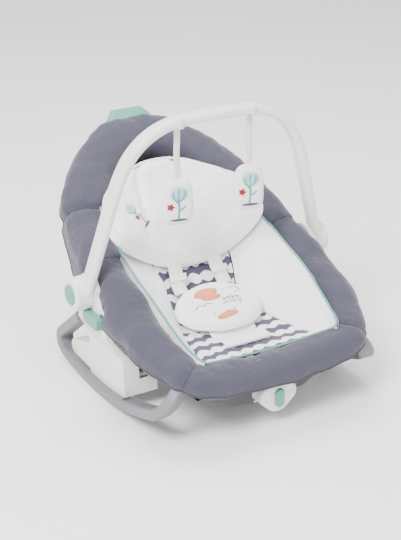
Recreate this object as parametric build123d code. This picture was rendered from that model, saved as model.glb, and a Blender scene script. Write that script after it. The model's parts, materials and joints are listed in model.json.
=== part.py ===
"""Rocking bouncer seat: one STEP file for each piece, in millimetres.

X is across the seat, -Y is the foot end, +Y is the head end, and Z is up from the floor.
The origin is on the floor, under the middle of the seat.
"""

from build123d import *
from math import asin, cos, degrees, radians, sin, sqrt, tan
import os

# Rockers: a moulded runner that curls up and forward at the rear and rises at the front.
ROCKER_RADIUS = 600.0
ROCKER_LOW_Y = 22.0
RAIL_X = 213.0
RAIL_WIDTH = 30.0
RAIL_HEIGHT = 20.0
RAIL_GROOVE = 5.0
RAIL_FRONT_ANGLE = 22.0
CURL_Y = 131.0
CURL_RADIUS = 30.0
ARM_SLOPE = 39.0
ARM_LENGTH = 112.0
RAIL_TOP_X = 178.0
RAIL_TOP_Y = -241.0
RAIL_TOP_Z = 112.0
RAIL_FOOT_RADIUS = 14.0

# Side posts: a leg box that stands on the runner and a thin plate that carries the hub.
HUB_Y = -5.0
HUB_Z = 206.0
LEG_OUT_X = 215.0
LEG_IN_X = 150.0
LEG_SPLIT_X = 184.0
LEG_FRONT_Y = -106.0
LEG_REAR_Y = 34.0
PLATE_OUT_X = 234.0
PLATE_THICK = 12.0
POST_WALL = 3.0
POST_TOP_RADIUS = 32.0
LOBE_Y = 100.0
LOBE_RADIUS = 15.0
CROSS_TUBE_RADIUS = 9.0
CROSS_TUBE_Y = 5.0
CROSS_TUBE_Z = 66.0
SCREW_RADIUS = 2.0
SCREW_HEAD_RADIUS = 3.6

# Toy bar, its hubs and its two hanging toys.
HUB_RADIUS = 30.0
HUB_FACE_X = 266.0
BAR_LEAN = 5.0
BAR_OFFSET = 15.0
BAR_HEIGHT = 301.0
BAR_THICK = 17.0
BAR_DEPTH = 30.0
BAR_TOP_HALF = 70.0
BAR_TOP_TURN = 4.0
BAR_CORNER_RADIUS = 125.0
BAR_LEG_RADIUS = 320.0
CORNER_TURN = 60.5
LEG_TURN = 9.5
CAP_RADIUS = 18.0
CAP_PROUD = 4.0
CAP_TRAVEL = 3.0
SPIGOT_RADIUS = 14.0
RUNNING_GAP = 0.05
TOY_X = 73.0
STRAP_WIDTH = 12.0
STRAP_THICK = 2.5
TOY_WIDTH = 56.0
TOY_HEIGHT = 87.0
TOY_THICK = 14.0
TOY_TOP_Z = 400.0

# Latch paddles on the posts.
LATCH_Y = -40.0
LATCH_Z = 166.0
LATCH_LENGTH = 54.0
LATCH_HEIGHT = 22.0
LATCH_PROUD = 14.0
LATCH_TRAVEL = 6.0
LATCH_GAP = 0.4

# Seat frame and its cover.
SEAT_TUBE_RADIUS = 8.0
TUBE_WALL = 1.5
SEAT_TUBE_X = 190.0
SEAT_TUBE_FRONT_Y = -252.0
SEAT_TUBE_FRONT_Z = 122.0
SEAT_TUBE_REAR_Y = -28.0
SEAT_TUBE_REAR_Z = 192.0
SEAT_TUBE_BEND = 48.0
COVER_HALF = 221.5
COVER_WIDE_HALF = 234.0
COVER_FRONT_HALF = 182.0
COVER_FRONT_Y = -287.0
COVER_INNER_HALF = 156.0
PAN_Z = 86.0
PAN_THICK = 8.0
INSERT_THICK = 12.0
BOARD_THICK = 4.0
BOARD_LOW = 60.0
SOFT_GAP = 0.3

# Backrest, hinged at the hub axis.
BACK_ANGLE = 37.7
BACK_A_Y = -10.0
BACK_A_Z = 184.0
BACK_LENGTH = 378.0
BACK_TUBE_RADIUS = 8.0
BACK_TUBE_HALF = 184.0
BACK_TUBE_LOW = 40.0
BACK_TUBE_TOP = 338.0
BACK_TUBE_BEND = 165.0
PULL_CABLE_RADIUS = 1.6
BACK_DEEP = 62.0
BACK_HIGH = 20.0
BACK_PAN_OFF = -50.0
HINGE_PIN_RADIUS = 6.0
LOCK_BOLT_RADIUS = 3.0
STUB_RADIUS = 20.0
RECLINE_RANGE = 8.0
HIGH_SPLIT = 106.0
SIDE_SPLIT = -57.0
PAN_SPLIT = -108.0
SPLIT_WEDGE = 10.0
TONGUE_HALF = 129.0

# Handle on the top of the back.
HANDLE_HALF = 46.0
COLLAR_LOW = 326.0
COLLAR_HIGH = 352.0
HANDLE_LENGTH = 34.0
HANDLE_THICK = 36.0
HANDLE_TRAVEL = 8.0

# Harness.
PAD_HALF_WIDTH = 80.0
PAD_HALF_LENGTH = 62.0
PAD_THICK = 15.0
PAD_Y = -82.0
PAD_Z = 136.0
PAD_TILT = 18.0
BUCKLE_TRAVEL = 3.0

# Vibration unit under the front roll.
UNIT_FACE_Y = -272.0
UNIT_Z = 57.0
UNIT_HALF = 38.0
UNIT_HEIGHT = 62.0
UNIT_DEPTH = 34.0
UNIT_WALL = 2.5
CELL_RADIUS = 7.2
CELL_LENGTH = 50.0
PILL_WIDTH = 18.0
PILL_HEIGHT = 36.0
PILL_TRAVEL = 3.0

# The origin lies under the middle of the whole, this far from the drawing's own zero.
ORIGIN_SHIFT_Y = -18.6

SIDES = {"left": -1, "right": 1}
side_plane = Plane.YZ
back_n = Vector(0, -sin(radians(BACK_ANGLE)), cos(radians(BACK_ANGLE)))
back_u = Vector(0, cos(radians(BACK_ANGLE)), sin(radians(BACK_ANGLE)))
back_plane = Plane(origin=(0, BACK_A_Y, BACK_A_Z), x_dir=(1, 0, 0), z_dir=tuple(back_n))
nodes = {}


def mirror_x(shape, side):
    """Return a shape drawn for the right side (+X), turned over for the left one."""
    return shape if side > 0 else mirror(shape, about=Plane.YZ)


def slab_x(face_yz, x0, x1):
    """Extrude an outline of the YZ plane from x0 to x1."""
    return Pos(x0, 0, 0) * extrude(side_plane * face_yz, x1 - x0, dir=(1, 0, 0))


def slab_y(face_xz, y0, y1):
    """Extrude an outline given as (X, Z) from y0 to y1."""
    plane = Plane(origin=(0, y0, 0), x_dir=(1, 0, 0), z_dir=(0, -1, 0))
    return extrude(plane * face_xz, y1 - y0, dir=(0, 1, 0))


def slab_z(face_xy, z0, z1):
    """Extrude an outline of the XY plane from z0 to z1."""
    return Pos(0, 0, z0) * extrude(face_xy, z1 - z0, dir=(0, 0, 1))


def area(points):
    """Return the face inside a closed run of straight lines."""
    return make_face(Polyline(*points, close=True))


def both_halves(points):
    """Return the face inside an outline given for X >= 0, with its mirror image."""
    return area(list(points) + [(-x, v) for x, v in reversed(points) if x > 0])


def rod_x(radius, x0, x1, y, z):
    """Return a round bar along X."""
    return Pos((x0 + x1) / 2, y, z) * Rot(0, 90, 0) * Cylinder(radius, abs(x1 - x0))


def block(x0, x1, y0, y1, z0, z1):
    """Return a box by its limits."""
    return Pos((x0 + x1) / 2, (y0 + y1) / 2, (z0 + z1) / 2) * Box(x1 - x0, y1 - y0, z1 - z0)


def runner_z(y, radius):
    """Return the height of an arc about the rockers' centre."""
    return ROCKER_RADIUS - sqrt(radius**2 - (y - ROCKER_LOW_Y) ** 2)


def runner_cylinder(radius, x0, x1):
    """Return the round bar whose underside is an arc about the rockers' centre."""
    return rod_x(radius, x0, x1, ROCKER_LOW_Y, ROCKER_RADIUS)


def soften(shape, edges, radius):
    """Fillet the edges with the largest radius that the shape's walls take."""
    for share in (1.0, 0.6, 0.3):
        try:
            return fillet(edges, radius * share)
        except ValueError:
            continue
    return shape


# ---------------------------------------------------------------- seat tube

seat_dir = Vector(0, SEAT_TUBE_FRONT_Y - SEAT_TUBE_REAR_Y, SEAT_TUBE_FRONT_Z - SEAT_TUBE_REAR_Z).normalized()


def make_seat_tube(outer, inner):
    """Return a bent round tube, or a bar if inner is 0, from one bracket round the foot end to the other."""
    rear = Vector(0, SEAT_TUBE_REAR_Y, SEAT_TUBE_REAR_Z)
    front = Vector(0, SEAT_TUBE_FRONT_Y, SEAT_TUBE_FRONT_Z)
    side = Vector(SEAT_TUBE_X, 0, 0)
    path = FilletPolyline(rear - side, front - side, front + side, rear + side, radius=SEAT_TUBE_BEND)
    ring = Circle(outer) - Circle(inner) if inner else Circle(outer)
    return sweep(Plane(origin=path @ 0, z_dir=path % 0) * ring, path=path)


seat_tube_core = make_seat_tube(SEAT_TUBE_RADIUS, 0)

# ---------------------------------------------------------------- rockers and posts

middle_radius = ROCKER_RADIUS - RAIL_HEIGHT / 2
inner_radius = ROCKER_RADIUS - RAIL_HEIGHT
curl_angle = degrees(asin((CURL_Y - ROCKER_LOW_Y) / (ROCKER_RADIUS - CURL_RADIUS)))
curl_z = ROCKER_RADIUS - (ROCKER_RADIUS - CURL_RADIUS) * cos(radians(curl_angle))
front_y = ROCKER_LOW_Y - middle_radius * sin(radians(RAIL_FRONT_ANGLE))
front_z = ROCKER_RADIUS - middle_radius * cos(radians(RAIL_FRONT_ANGLE))
front_dir = Vector(0, -cos(radians(RAIL_FRONT_ANGLE)), sin(radians(RAIL_FRONT_ANGLE)))
bend_point = Vector(RAIL_X, front_y, front_z) + front_dir * 60
rail_top = Vector(RAIL_TOP_X, RAIL_TOP_Y, RAIL_TOP_Z)


def make_rail():
    """Return the right rocker: runner, rear curl, arm to the post, and front riser."""
    mid_curl = CURL_RADIUS - RAIL_HEIGHT / 2
    runner = CenterArc((ROCKER_LOW_Y, ROCKER_RADIUS), middle_radius,
                       -90 - RAIL_FRONT_ANGLE, RAIL_FRONT_ANGLE + curl_angle)
    curl = CenterArc((CURL_Y, curl_z), mid_curl, curl_angle - 90, 180 - ARM_SLOPE - curl_angle)
    arm = Line(curl @ 1, (curl @ 1) + Vector(-cos(radians(ARM_SLOPE)), sin(radians(ARM_SLOPE))) * ARM_LENGTH)
    path = Pos(RAIL_X, 0, 0) * (side_plane * Wire([runner, curl, arm]))
    start = Plane(origin=path @ 0, x_dir=(1, 0, 0), z_dir=path % 0)
    section = RectangleRounded(RAIL_WIDTH, RAIL_HEIGHT, 5)
    rail = sweep(start * section, path=path)
    riser_path = FilletPolyline(path @ 0, bend_point, rail_top, radius=38)
    riser = sweep(Plane(origin=path @ 0, x_dir=(1, 0, 0), z_dir=riser_path % 0) * section, path=riser_path)
    groove = runner_cylinder(inner_radius + RAIL_GROOVE, RAIL_X - 9, RAIL_X + 9)
    groove = groove & block(RAIL_X - 9, RAIL_X + 9, front_y - 8, LEG_FRONT_Y, 0, ROCKER_RADIUS)
    foot = Pos(*rail_top) * Cylinder(RAIL_FOOT_RADIUS, 24, align=(Align.CENTER, Align.CENTER, Align.MIN))
    return rail + riser + foot - groove - seat_tube_core


plate_in_x = PLATE_OUT_X - PLATE_THICK
leg_outline = [
    (LEG_FRONT_Y - 2, 20), (LEG_FRONT_Y + 6, 104), (-74, 150), (-74, 188), (-37, 206), (HUB_Y, 206),
    (27, 206), (38, 122), (LEG_REAR_Y, 96), (LEG_REAR_Y, 10),
]
post_section = [
    (LEG_IN_X, 0), (LEG_IN_X, 84), (206, 112), (plate_in_x, 134), (plate_in_x, 260), (PLATE_OUT_X, 260),
    (PLATE_OUT_X, 140), (LEG_OUT_X, 104), (LEG_OUT_X, 0),
]


def make_post():
    """Return the right post's two shells: outer with the hub plate, inner with the front recess."""
    head = Pos(HUB_Y, HUB_Z) * Circle(POST_TOP_RADIUS)
    lobe = Pos(LOBE_Y, runner_z(LOBE_Y, inner_radius) + LOBE_RADIUS + 1) * Circle(LOBE_RADIUS)
    leg_face = area(leg_outline) + head
    lobe_root = Pos(LEG_REAR_Y, 52) * Circle(26)
    lobe_face = make_hull((lobe + lobe_root).edges())
    profile = area(post_section)
    solid = slab_x(leg_face, 0, 300) & slab_y(profile, -200, 200)
    tail = slab_x(lobe_face, LEG_OUT_X - 24, LEG_OUT_X)
    solid = (solid + tail) & runner_cylinder(inner_radius, 100, 300)
    inset_leg = offset(leg_face, -POST_WALL)
    inset_profile = offset(profile, -POST_WALL)
    hollow = slab_x(inset_leg, 0, 300) & slab_y(inset_profile, -200, 200)
    hollow = hollow & runner_cylinder(inner_radius - POST_WALL, 100, 300) & block(0, LEG_OUT_X, -200, 200, 0, 108)
    solid = solid - hollow
    bosses = [rod_x(6, LEG_IN_X + 1, LEG_OUT_X - 1, y, z) for y, z in post_screw_points]
    solid = solid + bosses
    for y, z in post_screw_points:
        solid = solid - rod_x(SCREW_RADIUS, LEG_IN_X - 1, LEG_SPLIT_X + 14, y, z)
        solid = solid - rod_x(SCREW_HEAD_RADIUS, LEG_IN_X - 1, LEG_IN_X + 3, y, z)
    solid = solid - rod_x(SPIGOT_RADIUS + RUNNING_GAP, 200, 260, HUB_Y, HUB_Z)
    solid = solid - latch_slot()
    solid = solid - rod_x(CROSS_TUBE_RADIUS, 100, LEG_IN_X + 20, CROSS_TUBE_Y, CROSS_TUBE_Z)
    solid = solid - rail_bodies["right"]
    recess = slab_y(area([(166, 62), (164, 84), (190, 84), (184, 62)]), -140, LEG_FRONT_Y + 10)
    outer = solid & block(LEG_SPLIT_X, 300, -200, 200, 0, 300)
    inner = (solid - recess) & block(100, LEG_SPLIT_X, -200, 200, 0, 300)
    return outer, inner


post_screw_points = [(LEG_FRONT_Y + 18, 62), (LEG_REAR_Y - 12, 72), (-40, 74)]


def latch_slot():
    """Return the cut in the post plate that the latch paddle slides in."""
    half = LATCH_LENGTH / 2 + LATCH_GAP
    tall = LATCH_HEIGHT / 2 + LATCH_GAP
    return block(plate_in_x - 10, 260, LATCH_Y - half, LATCH_Y + half, LATCH_Z - tall, LATCH_Z + tall)


def make_latch():
    """Return the right latch paddle with its grip rib."""
    tip = PLATE_OUT_X + LATCH_PROUD
    body = block(plate_in_x + LATCH_TRAVEL + 1, tip, LATCH_Y - LATCH_LENGTH / 2, LATCH_Y + LATCH_LENGTH / 2,
                 LATCH_Z - LATCH_HEIGHT / 2, LATCH_Z + LATCH_HEIGHT / 2)
    body = soften(body, body.edges().filter_by(Axis.X), 4)
    body = soften(body, body.faces().sort_by(Axis.X)[-1].edges(), 3)
    return body


def make_rail_screws():
    """Return the screws that go up through each runner into its leg box."""
    found = []
    for side in SIDES.values():
        for y in (LEG_FRONT_Y + 26, LEG_REAR_Y - 16):
            low = runner_z(y, ROCKER_RADIUS) + 3
            shank = Pos(side * (LEG_OUT_X - 8), y, low + 12) * Cylinder(SCREW_RADIUS, 24)
            head = Pos(side * (LEG_OUT_X - 8), y, low + 1.5) * Cylinder(SCREW_HEAD_RADIUS, 3)
            found.append(shank + head)
    return found


rail_bodies = {name: mirror_x(make_rail(), side) for name, side in SIDES.items()}
rail_screws = make_rail_screws()
for name, side in SIDES.items():
    rail = rail_bodies[name]
    for y in (LEG_FRONT_Y + 26, LEG_REAR_Y - 16):
        low = runner_z(y, ROCKER_RADIUS)
        rail = rail - Pos(side * (LEG_OUT_X - 8), y, low) * Cylinder(SCREW_HEAD_RADIUS, 12)
        rail = rail - Pos(side * (LEG_OUT_X - 8), y, low + 10) * Cylinder(SCREW_RADIUS, 40)
    outer, inner = make_post()
    outer = mirror_x(outer, side)
    inner = mirror_x(inner, side)
    for screw in rail_screws:
        outer = outer - screw
    nodes[f"rocker_rail_{name}"] = rail
    nodes[f"side_post_outer_{name}"] = outer
    nodes[f"side_post_inner_{name}"] = inner
    nodes[f"release_latch_{name}"] = mirror_x(make_latch(), side)
nodes["rail_screws"] = rail_screws
nodes["post_screws"] = [
    mirror_x(rod_x(SCREW_RADIUS, LEG_IN_X + 3, LEG_SPLIT_X + 14, y, z)
             + rod_x(SCREW_HEAD_RADIUS, LEG_IN_X + 0.5, LEG_IN_X + 3, y, z), side)
    for side in SIDES.values() for y, z in post_screw_points
]
nodes["cross_tube"] = (
    rod_x(CROSS_TUBE_RADIUS, -LEG_IN_X - 20, LEG_IN_X + 20, CROSS_TUBE_Y, CROSS_TUBE_Z)
    - rod_x(CROSS_TUBE_RADIUS - 1.5, -LEG_IN_X - 21, LEG_IN_X + 21, CROSS_TUBE_Y, CROSS_TUBE_Z)
)

# ---------------------------------------------------------------- hinge pins and recline plates

hinge_plate_x = 192.0
quadrant_x = 199.0
steel_thick = 4.0
lock_radius = 62.0
lock_hole = 3.4
lock_angle = BACK_ANGLE + 4


def hub_point(angle, reach):
    """Return (Y, Z) at a reach from the hinge axis, the angle counted up from +Y."""
    return HUB_Y + reach * cos(radians(angle)), HUB_Z + reach * sin(radians(angle))


def make_seat_bracket():
    """Return the right bracket: a notched plate fixed to the seat tube, with the hinge pin's hole."""
    lock = [hub_point(lock_angle + turn, lock_radius) for turn in (-RECLINE_RANGE, 0, RECLINE_RANGE)]
    tube_end = Pos(SEAT_TUBE_REAR_Y - 12, SEAT_TUBE_REAR_Z - 3) * Circle(13)
    head = Pos(HUB_Y, HUB_Z) * Circle(20)
    far = Pos(*hub_point(lock_angle, lock_radius)) * Circle(18)
    face = make_hull((tube_end + head).edges()) + make_hull((head + far).edges())
    plate = slab_x(face, quadrant_x, quadrant_x + steel_thick)
    for y, z in lock:
        plate = plate - rod_x(lock_hole, quadrant_x - 1, quadrant_x + steel_thick + 1, y, z)
    boss = rod_x(STUB_RADIUS, quadrant_x + steel_thick, plate_in_x, HUB_Y, HUB_Z)
    cup = block(SEAT_TUBE_X - 2, quadrant_x, SEAT_TUBE_REAR_Y - 22, SEAT_TUBE_REAR_Y - 4,
                SEAT_TUBE_REAR_Z - 14, SEAT_TUBE_REAR_Z + 8)
    return plate + boss + cup - rod_x(HINGE_PIN_RADIUS, 0, 300, HUB_Y, HUB_Z) - seat_tube_core


for name, side in SIDES.items():
    nodes[f"seat_bracket_{name}"] = mirror_x(make_seat_bracket(), side)
nodes["hinge_pins"] = [
    mirror_x(rod_x(HINGE_PIN_RADIUS, hinge_plate_x - 1, plate_in_x, HUB_Y, HUB_Z)
             + rod_x(10, hinge_plate_x - 3.5, hinge_plate_x - 0.5, HUB_Y, HUB_Z), side)
    for side in SIDES.values()
]
nodes["seat_tube"] = make_seat_tube(SEAT_TUBE_RADIUS, SEAT_TUBE_RADIUS - TUBE_WALL)

# ---------------------------------------------------------------- backrest

back_tube_off = -20.0


def back_at(x, s, off):
    """Return the point of the back at X, s along it from the hip line and off out of its face."""
    return Vector(x, BACK_A_Y, BACK_A_Z) + back_u * s + back_n * off


def slab_n(face_xs, off0, off1):
    """Extrude an outline given as (X, s) from one level over the back's face to another."""
    plane = Plane(origin=tuple(back_at(0, 0, off0)), x_dir=(1, 0, 0), z_dir=tuple(back_n))
    return extrude(plane * face_xs, off1 - off0)


def slab_s(face_xo, s0, s1):
    """Extrude an outline given as (X, off) along the back from s0 to s1."""
    plane = Plane(origin=tuple(back_at(0, s0, 0)), x_dir=(1, 0, 0), z_dir=tuple(back_u * -1))
    return extrude(plane * face_xo, -(s1 - s0))


def make_back_tube(outer, inner):
    """Return a bent round tube, or a bar if inner is 0, from one hinge plate over the head end to the other."""
    points = [back_at(x, s, back_tube_off) for x, s in (
        (-BACK_TUBE_HALF, BACK_TUBE_LOW), (-BACK_TUBE_HALF, BACK_TUBE_TOP),
        (BACK_TUBE_HALF, BACK_TUBE_TOP), (BACK_TUBE_HALF, BACK_TUBE_LOW))]
    path = FilletPolyline(*points, radius=BACK_TUBE_BEND)
    ring = Circle(outer) - Circle(inner) if inner else Circle(outer)
    return sweep(Plane(origin=path @ 0, z_dir=path % 0) * ring, path=path)


def make_hinge_plate():
    """Return the right hinge plate: a strip from the hub pin to a cup round the back tube's end."""
    end = back_at(0, BACK_TUBE_LOW + 14, back_tube_off)
    head = Pos(HUB_Y, HUB_Z) * Circle(15)
    foot = Pos(end.Y, end.Z) * Circle(11)
    lock = Pos(*hub_point(lock_angle, lock_radius)) * Circle(9)
    face = make_hull((head + foot).edges()) + make_hull((foot + lock).edges())
    plate = slab_x(face, hinge_plate_x, hinge_plate_x + steel_thick)
    plate = plate + rod_x(6, hinge_plate_x - 12, hinge_plate_x, *hub_point(lock_angle, lock_radius))
    plate = plate - rod_x(LOCK_BOLT_RADIUS + RUNNING_GAP, 0, 300, *hub_point(lock_angle, lock_radius))
    plate = plate - rod_x(HINGE_PIN_RADIUS + RUNNING_GAP, 0, 300, HUB_Y, HUB_Z)
    tube_spot = Pos(BACK_TUBE_HALF, back_tube_off)
    ring = slab_s(tube_spot * Circle(BACK_TUBE_RADIUS + 3), BACK_TUBE_LOW + 2, BACK_TUBE_LOW + 26)
    arm = slab_s(area([(BACK_TUBE_HALF, back_tube_off - 5), (hinge_plate_x, back_tube_off - 5),
                       (hinge_plate_x, back_tube_off + 5), (BACK_TUBE_HALF, back_tube_off + 5)]),
                 BACK_TUBE_LOW + 6, BACK_TUBE_LOW + 22)
    core = slab_s(tube_spot * Circle(BACK_TUBE_RADIUS), BACK_TUBE_LOW - 1, BACK_TUBE_LOW + 40)
    return plate + ring + arm - core


nodes["back_tube"] = make_back_tube(BACK_TUBE_RADIUS, BACK_TUBE_RADIUS - TUBE_WALL)
nodes["pull_cables"] = make_back_tube(PULL_CABLE_RADIUS, 0)
for name, side in SIDES.items():
    nodes[f"hinge_plate_{name}"] = mirror_x(make_hinge_plate(), side)

lock_travel = 6.5
lock_tip_x = quadrant_x - 0.5
for name, side in SIDES.items():
    y, z = hub_point(lock_angle, lock_radius)
    bolt = rod_x(LOCK_BOLT_RADIUS, lock_tip_x - 26, lock_tip_x, y, z)
    bolt = bolt + rod_x(5, lock_tip_x - 26, lock_tip_x - 23, y, z)
    nodes[f"lock_bolt_{name}"] = mirror_x(bolt, side)


# ---------------------------------------------------------------- padded cover, inserts and boards

bolster = 70.0
seat_split = SIDE_SPLIT - 9
seat_front = area([
    (HUB_Y - 1.5, HUB_Z), (HUB_Y - 15, HUB_Z + 29), (-79, 222), (-162, 198), (-215, 176), (-248, 156),
    (-270, 140), (-270, PAN_Z), (HUB_Y - 1.5 + (HUB_Z - PAN_Z) / tan(radians(-seat_split)), PAN_Z),
])
seat_section = both_halves([
    (0, PAN_Z), (146, PAN_Z), (COVER_HALF, 150), (COVER_WIDE_HALF, 152), (COVER_WIDE_HALF, 190), (218, 222),
    (190, 236), (166, 226), (COVER_INNER_HALF, 200), (150, 150), (143, PAN_Z + PAN_THICK), (0, PAN_Z + PAN_THICK),
])
seat_plan = both_halves([
    (0, 140), (COVER_HALF, 140), (COVER_HALF, -76), (COVER_WIDE_HALF, -76), (233, -130), (223, -177), (199, -240),
    (COVER_FRONT_HALF, -264), (176, -270), (0, -270),
])
hub_room = rod_x(84, hinge_plate_x - 1.5, quadrant_x + steel_thick + 1, HUB_Y, HUB_Z)
hub_room = hub_room + rod_x(12, hinge_plate_x - 5, plate_in_x, HUB_Y, HUB_Z)
hub_room = hub_room + rod_x(STUB_RADIUS + 1, quadrant_x, plate_in_x + 1, HUB_Y, HUB_Z)
hub_room = hub_room + block(SEAT_TUBE_X - 3, quadrant_x + 1, SEAT_TUBE_REAR_Y - 24, SEAT_TUBE_REAR_Y - 2,
                            SEAT_TUBE_REAR_Z - 16, SEAT_TUBE_REAR_Z + 10)
bolt_y, bolt_z = hub_point(lock_angle, lock_radius)
back_room = hub_room + rod_x(7.5, lock_tip_x - 28 - lock_travel, hinge_plate_x, bolt_y, bolt_z)


def behind_hub(gap, low_angle):
    """Return the space behind two lines from the hinge axis, one up at HIGH_SPLIT and one at low_angle."""
    low_y, low_z = hub_point(low_angle, 300)
    high_y, high_z = hub_point(HIGH_SPLIT, 300)
    face = area([
        (HUB_Y + gap, HUB_Z), (high_y + gap, high_z), (400, high_z + 300), (500, low_z), (low_y + gap, low_z),
    ])
    return slab_x(face, -300, 300)


tongue = block(-TONGUE_HALF, TONGUE_HALF, -400, 400, -100, 700)
tongue_room = block(-TONGUE_HALF - 1.5, TONGUE_HALF + 1.5, -400, 400, -100, 700)


def back_part(shape, gap):
    """Return what of a shape belongs to the back: all behind the side split, and a tongue down to the seat's pan."""
    return (shape & behind_hub(gap, SIDE_SPLIT)) + (shape & behind_hub(gap, PAN_SPLIT) & tongue)


def both_sides(shape):
    """Return a shape drawn for the right side together with its mirror image."""
    return shape + mirror(shape, about=Plane.YZ)


def make_seat_cover():
    """Return the seat's cover: side bolsters, front roll and pan."""
    body = slab_y(seat_section, -280, 140) & slab_x(seat_front, -300, 300) & slab_z(seat_plan, 50, 300)
    roll_y = (COVER_FRONT_Y + COVER_FRONT_Y + bolster) / 2
    roll = slab_x(Pos(roll_y, 106) * RectangleRounded(bolster, 44, 20), -COVER_FRONT_HALF, COVER_FRONT_HALF)
    body = body - (behind_hub(-1.5, PAN_SPLIT - SPLIT_WEDGE) & tongue_room) + roll
    for side in SIDES.values():
        body = body - mirror_x(hub_room, side) - rail_bodies["left" if side < 0 else "right"]
    body = body - make_seat_tube(SEAT_TUBE_RADIUS + SOFT_GAP, 0)
    return body - block(-13, 13, -255, -249, 0, 116)


def make_seat_insert():
    """Return the seat's padded insert: a flat pad with a wing up each side bolster."""
    low = PAN_Z + PAN_THICK + SOFT_GAP
    section = both_halves([
        (0, low), (142.7, low), (149.7, 150), (155.7, 200), (155.7, 230), (144, 230), (138, 150),
        (131, low + INSERT_THICK), (0, low + INSERT_THICK),
    ])
    front = COVER_FRONT_Y + bolster + SOFT_GAP
    side_face = area([
        (HUB_Y - 4, HUB_Z), (HUB_Y - 13, 225), (-52, 222), (-122, 203), (-181, 175), (front, 160), (front, low),
        (HUB_Y - 4 + (HUB_Z - low) / tan(radians(-seat_split)), low),
    ])
    body = slab_y(section, -260, 120) & slab_x(side_face, -300, 300)
    return body - (behind_hub(-4, PAN_SPLIT - SPLIT_WEDGE) & tongue_room)


def back_outline(inset):
    """Return the back's outline in its own plane, moved inwards by inset."""
    half = COVER_HALF - inset
    top = BACK_LENGTH - inset
    side_line = Line((half, -80), (half, 75))
    shoulder = (205 - inset * 0.98, 204 - inset * 0.2)
    corner = (156 - inset * 0.78, 285 - inset * 0.62)
    arch = Spline((half, 75), shoulder, corner, (0, top), tangents=[(0, 1), (-1, 0)])
    foot = Line((0, -80), (half, -80))
    face = make_face(Wire([foot, side_line, arch, Line((0, top), (0, -80))]))
    return face + mirror(face, about=Plane.YZ)


back_tray = both_halves([
    (0, BACK_PAN_OFF), (COVER_HALF - bolster, BACK_PAN_OFF), (COVER_HALF - bolster, BACK_PAN_OFF + PAN_THICK),
    (0, BACK_PAN_OFF + PAN_THICK),
])


def make_back_cover():
    """Return the back's cover: the bolster that runs up, over and down, and the pan between."""
    ring = slab_n(back_outline(0) - back_outline(bolster), -BACK_DEEP, BACK_HIGH)
    tray = slab_s(back_tray, -130, 312) & slab_n(back_outline(10), -120, 40)
    body = (ring & behind_hub(1.5, SIDE_SPLIT)) + back_part(tray, 1.5)
    for side in SIDES.values():
        body = body - mirror_x(back_room, side)
        cup_room = Pos(BACK_TUBE_HALF, back_tube_off) * Circle(BACK_TUBE_RADIUS + 4)
        room = slab_s(cup_room, BACK_TUBE_LOW - 2, BACK_TUBE_LOW + 28)
        body = body - mirror_x(room, side)
    body = body - make_back_tube(BACK_TUBE_RADIUS + SOFT_GAP, 0)
    return body - slab_n(Pos(0, BACK_LENGTH - 20) * Rectangle(2 * HANDLE_HALF + 8, 70), -BACK_DEEP - 1, BACK_HIGH + 1)


def make_back_insert():
    """Return the back's padded insert: a flat pad with a wing up each side bolster."""
    low = BACK_PAN_OFF + PAN_THICK + SOFT_GAP
    half = COVER_HALF - bolster - SOFT_GAP
    section = both_halves([
        (0, low), (half, low), (half, 4), (half - INSERT_THICK, 4), (half - INSERT_THICK, low + INSERT_THICK),
        (0, low + INSERT_THICK),
    ])
    body = slab_s(section, -130, 300) & slab_n(back_outline(bolster + SOFT_GAP), -120, 40)
    return back_part(body, 4)


def make_head_pillow():
    """Return the head pillow: a wide pad whose two wings lie over the bolsters."""
    low = BACK_PAN_OFF + PAN_THICK + INSERT_THICK + 2 * SOFT_GAP
    section = both_halves([
        (0, low), (138.4, low), (138.4, BACK_HIGH + SOFT_GAP), (165, BACK_HIGH + SOFT_GAP),
        (165, 33), (130, 35), (112, 12), (96, -2), (0, -10),
    ])
    half = make_face(Wire([
        Line((0, 28), (60, 32)),
        Spline((60, 32), (140, 66), (165, 118), (101, 222), (0, 252), tangents=[(1, 0.05), (-1, 0)]),
        Line((0, 252), (0, 28)),
    ]))
    outline = half + mirror(half, about=Plane.YZ)
    low_part = slab_n(outline & back_outline(bolster + 2 * SOFT_GAP), -120, BACK_HIGH + SOFT_GAP)
    return slab_s(section, 20, 260) & (low_part + slab_n(outline, BACK_HIGH + SOFT_GAP, 60))


nodes["seat_cover"] = make_seat_cover()
nodes["seat_insert"] = make_seat_insert()
nodes["seat_board"] = block(-128, 128, -205, -75, PAN_Z - BOARD_THICK - SOFT_GAP, PAN_Z - SOFT_GAP)
nodes["underside_cover"] = slab_x(area([
    (-228, 83.7), (-235, 46), (-220, 34), (-112, 81.4), (-122, 81.4), (-219, 39), (-230.5, 48), (-223, 83.7),
]), -146, 146)
nodes["back_cover"] = make_back_cover()
nodes["back_insert"] = make_back_insert()
board_top = BACK_PAN_OFF - SOFT_GAP
board_length = BACK_LENGTH - BOARD_LOW
board_field = Pos(0, BOARD_LOW + board_length / 2) * Rectangle(2 * COVER_HALF, board_length)
board_face = back_outline(bolster + 6) & board_field
nodes["back_board"] = slab_n(board_face, board_top - BOARD_THICK, board_top)
nodes["head_pillow"] = make_head_pillow()

# ---------------------------------------------------------------- harness

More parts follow.
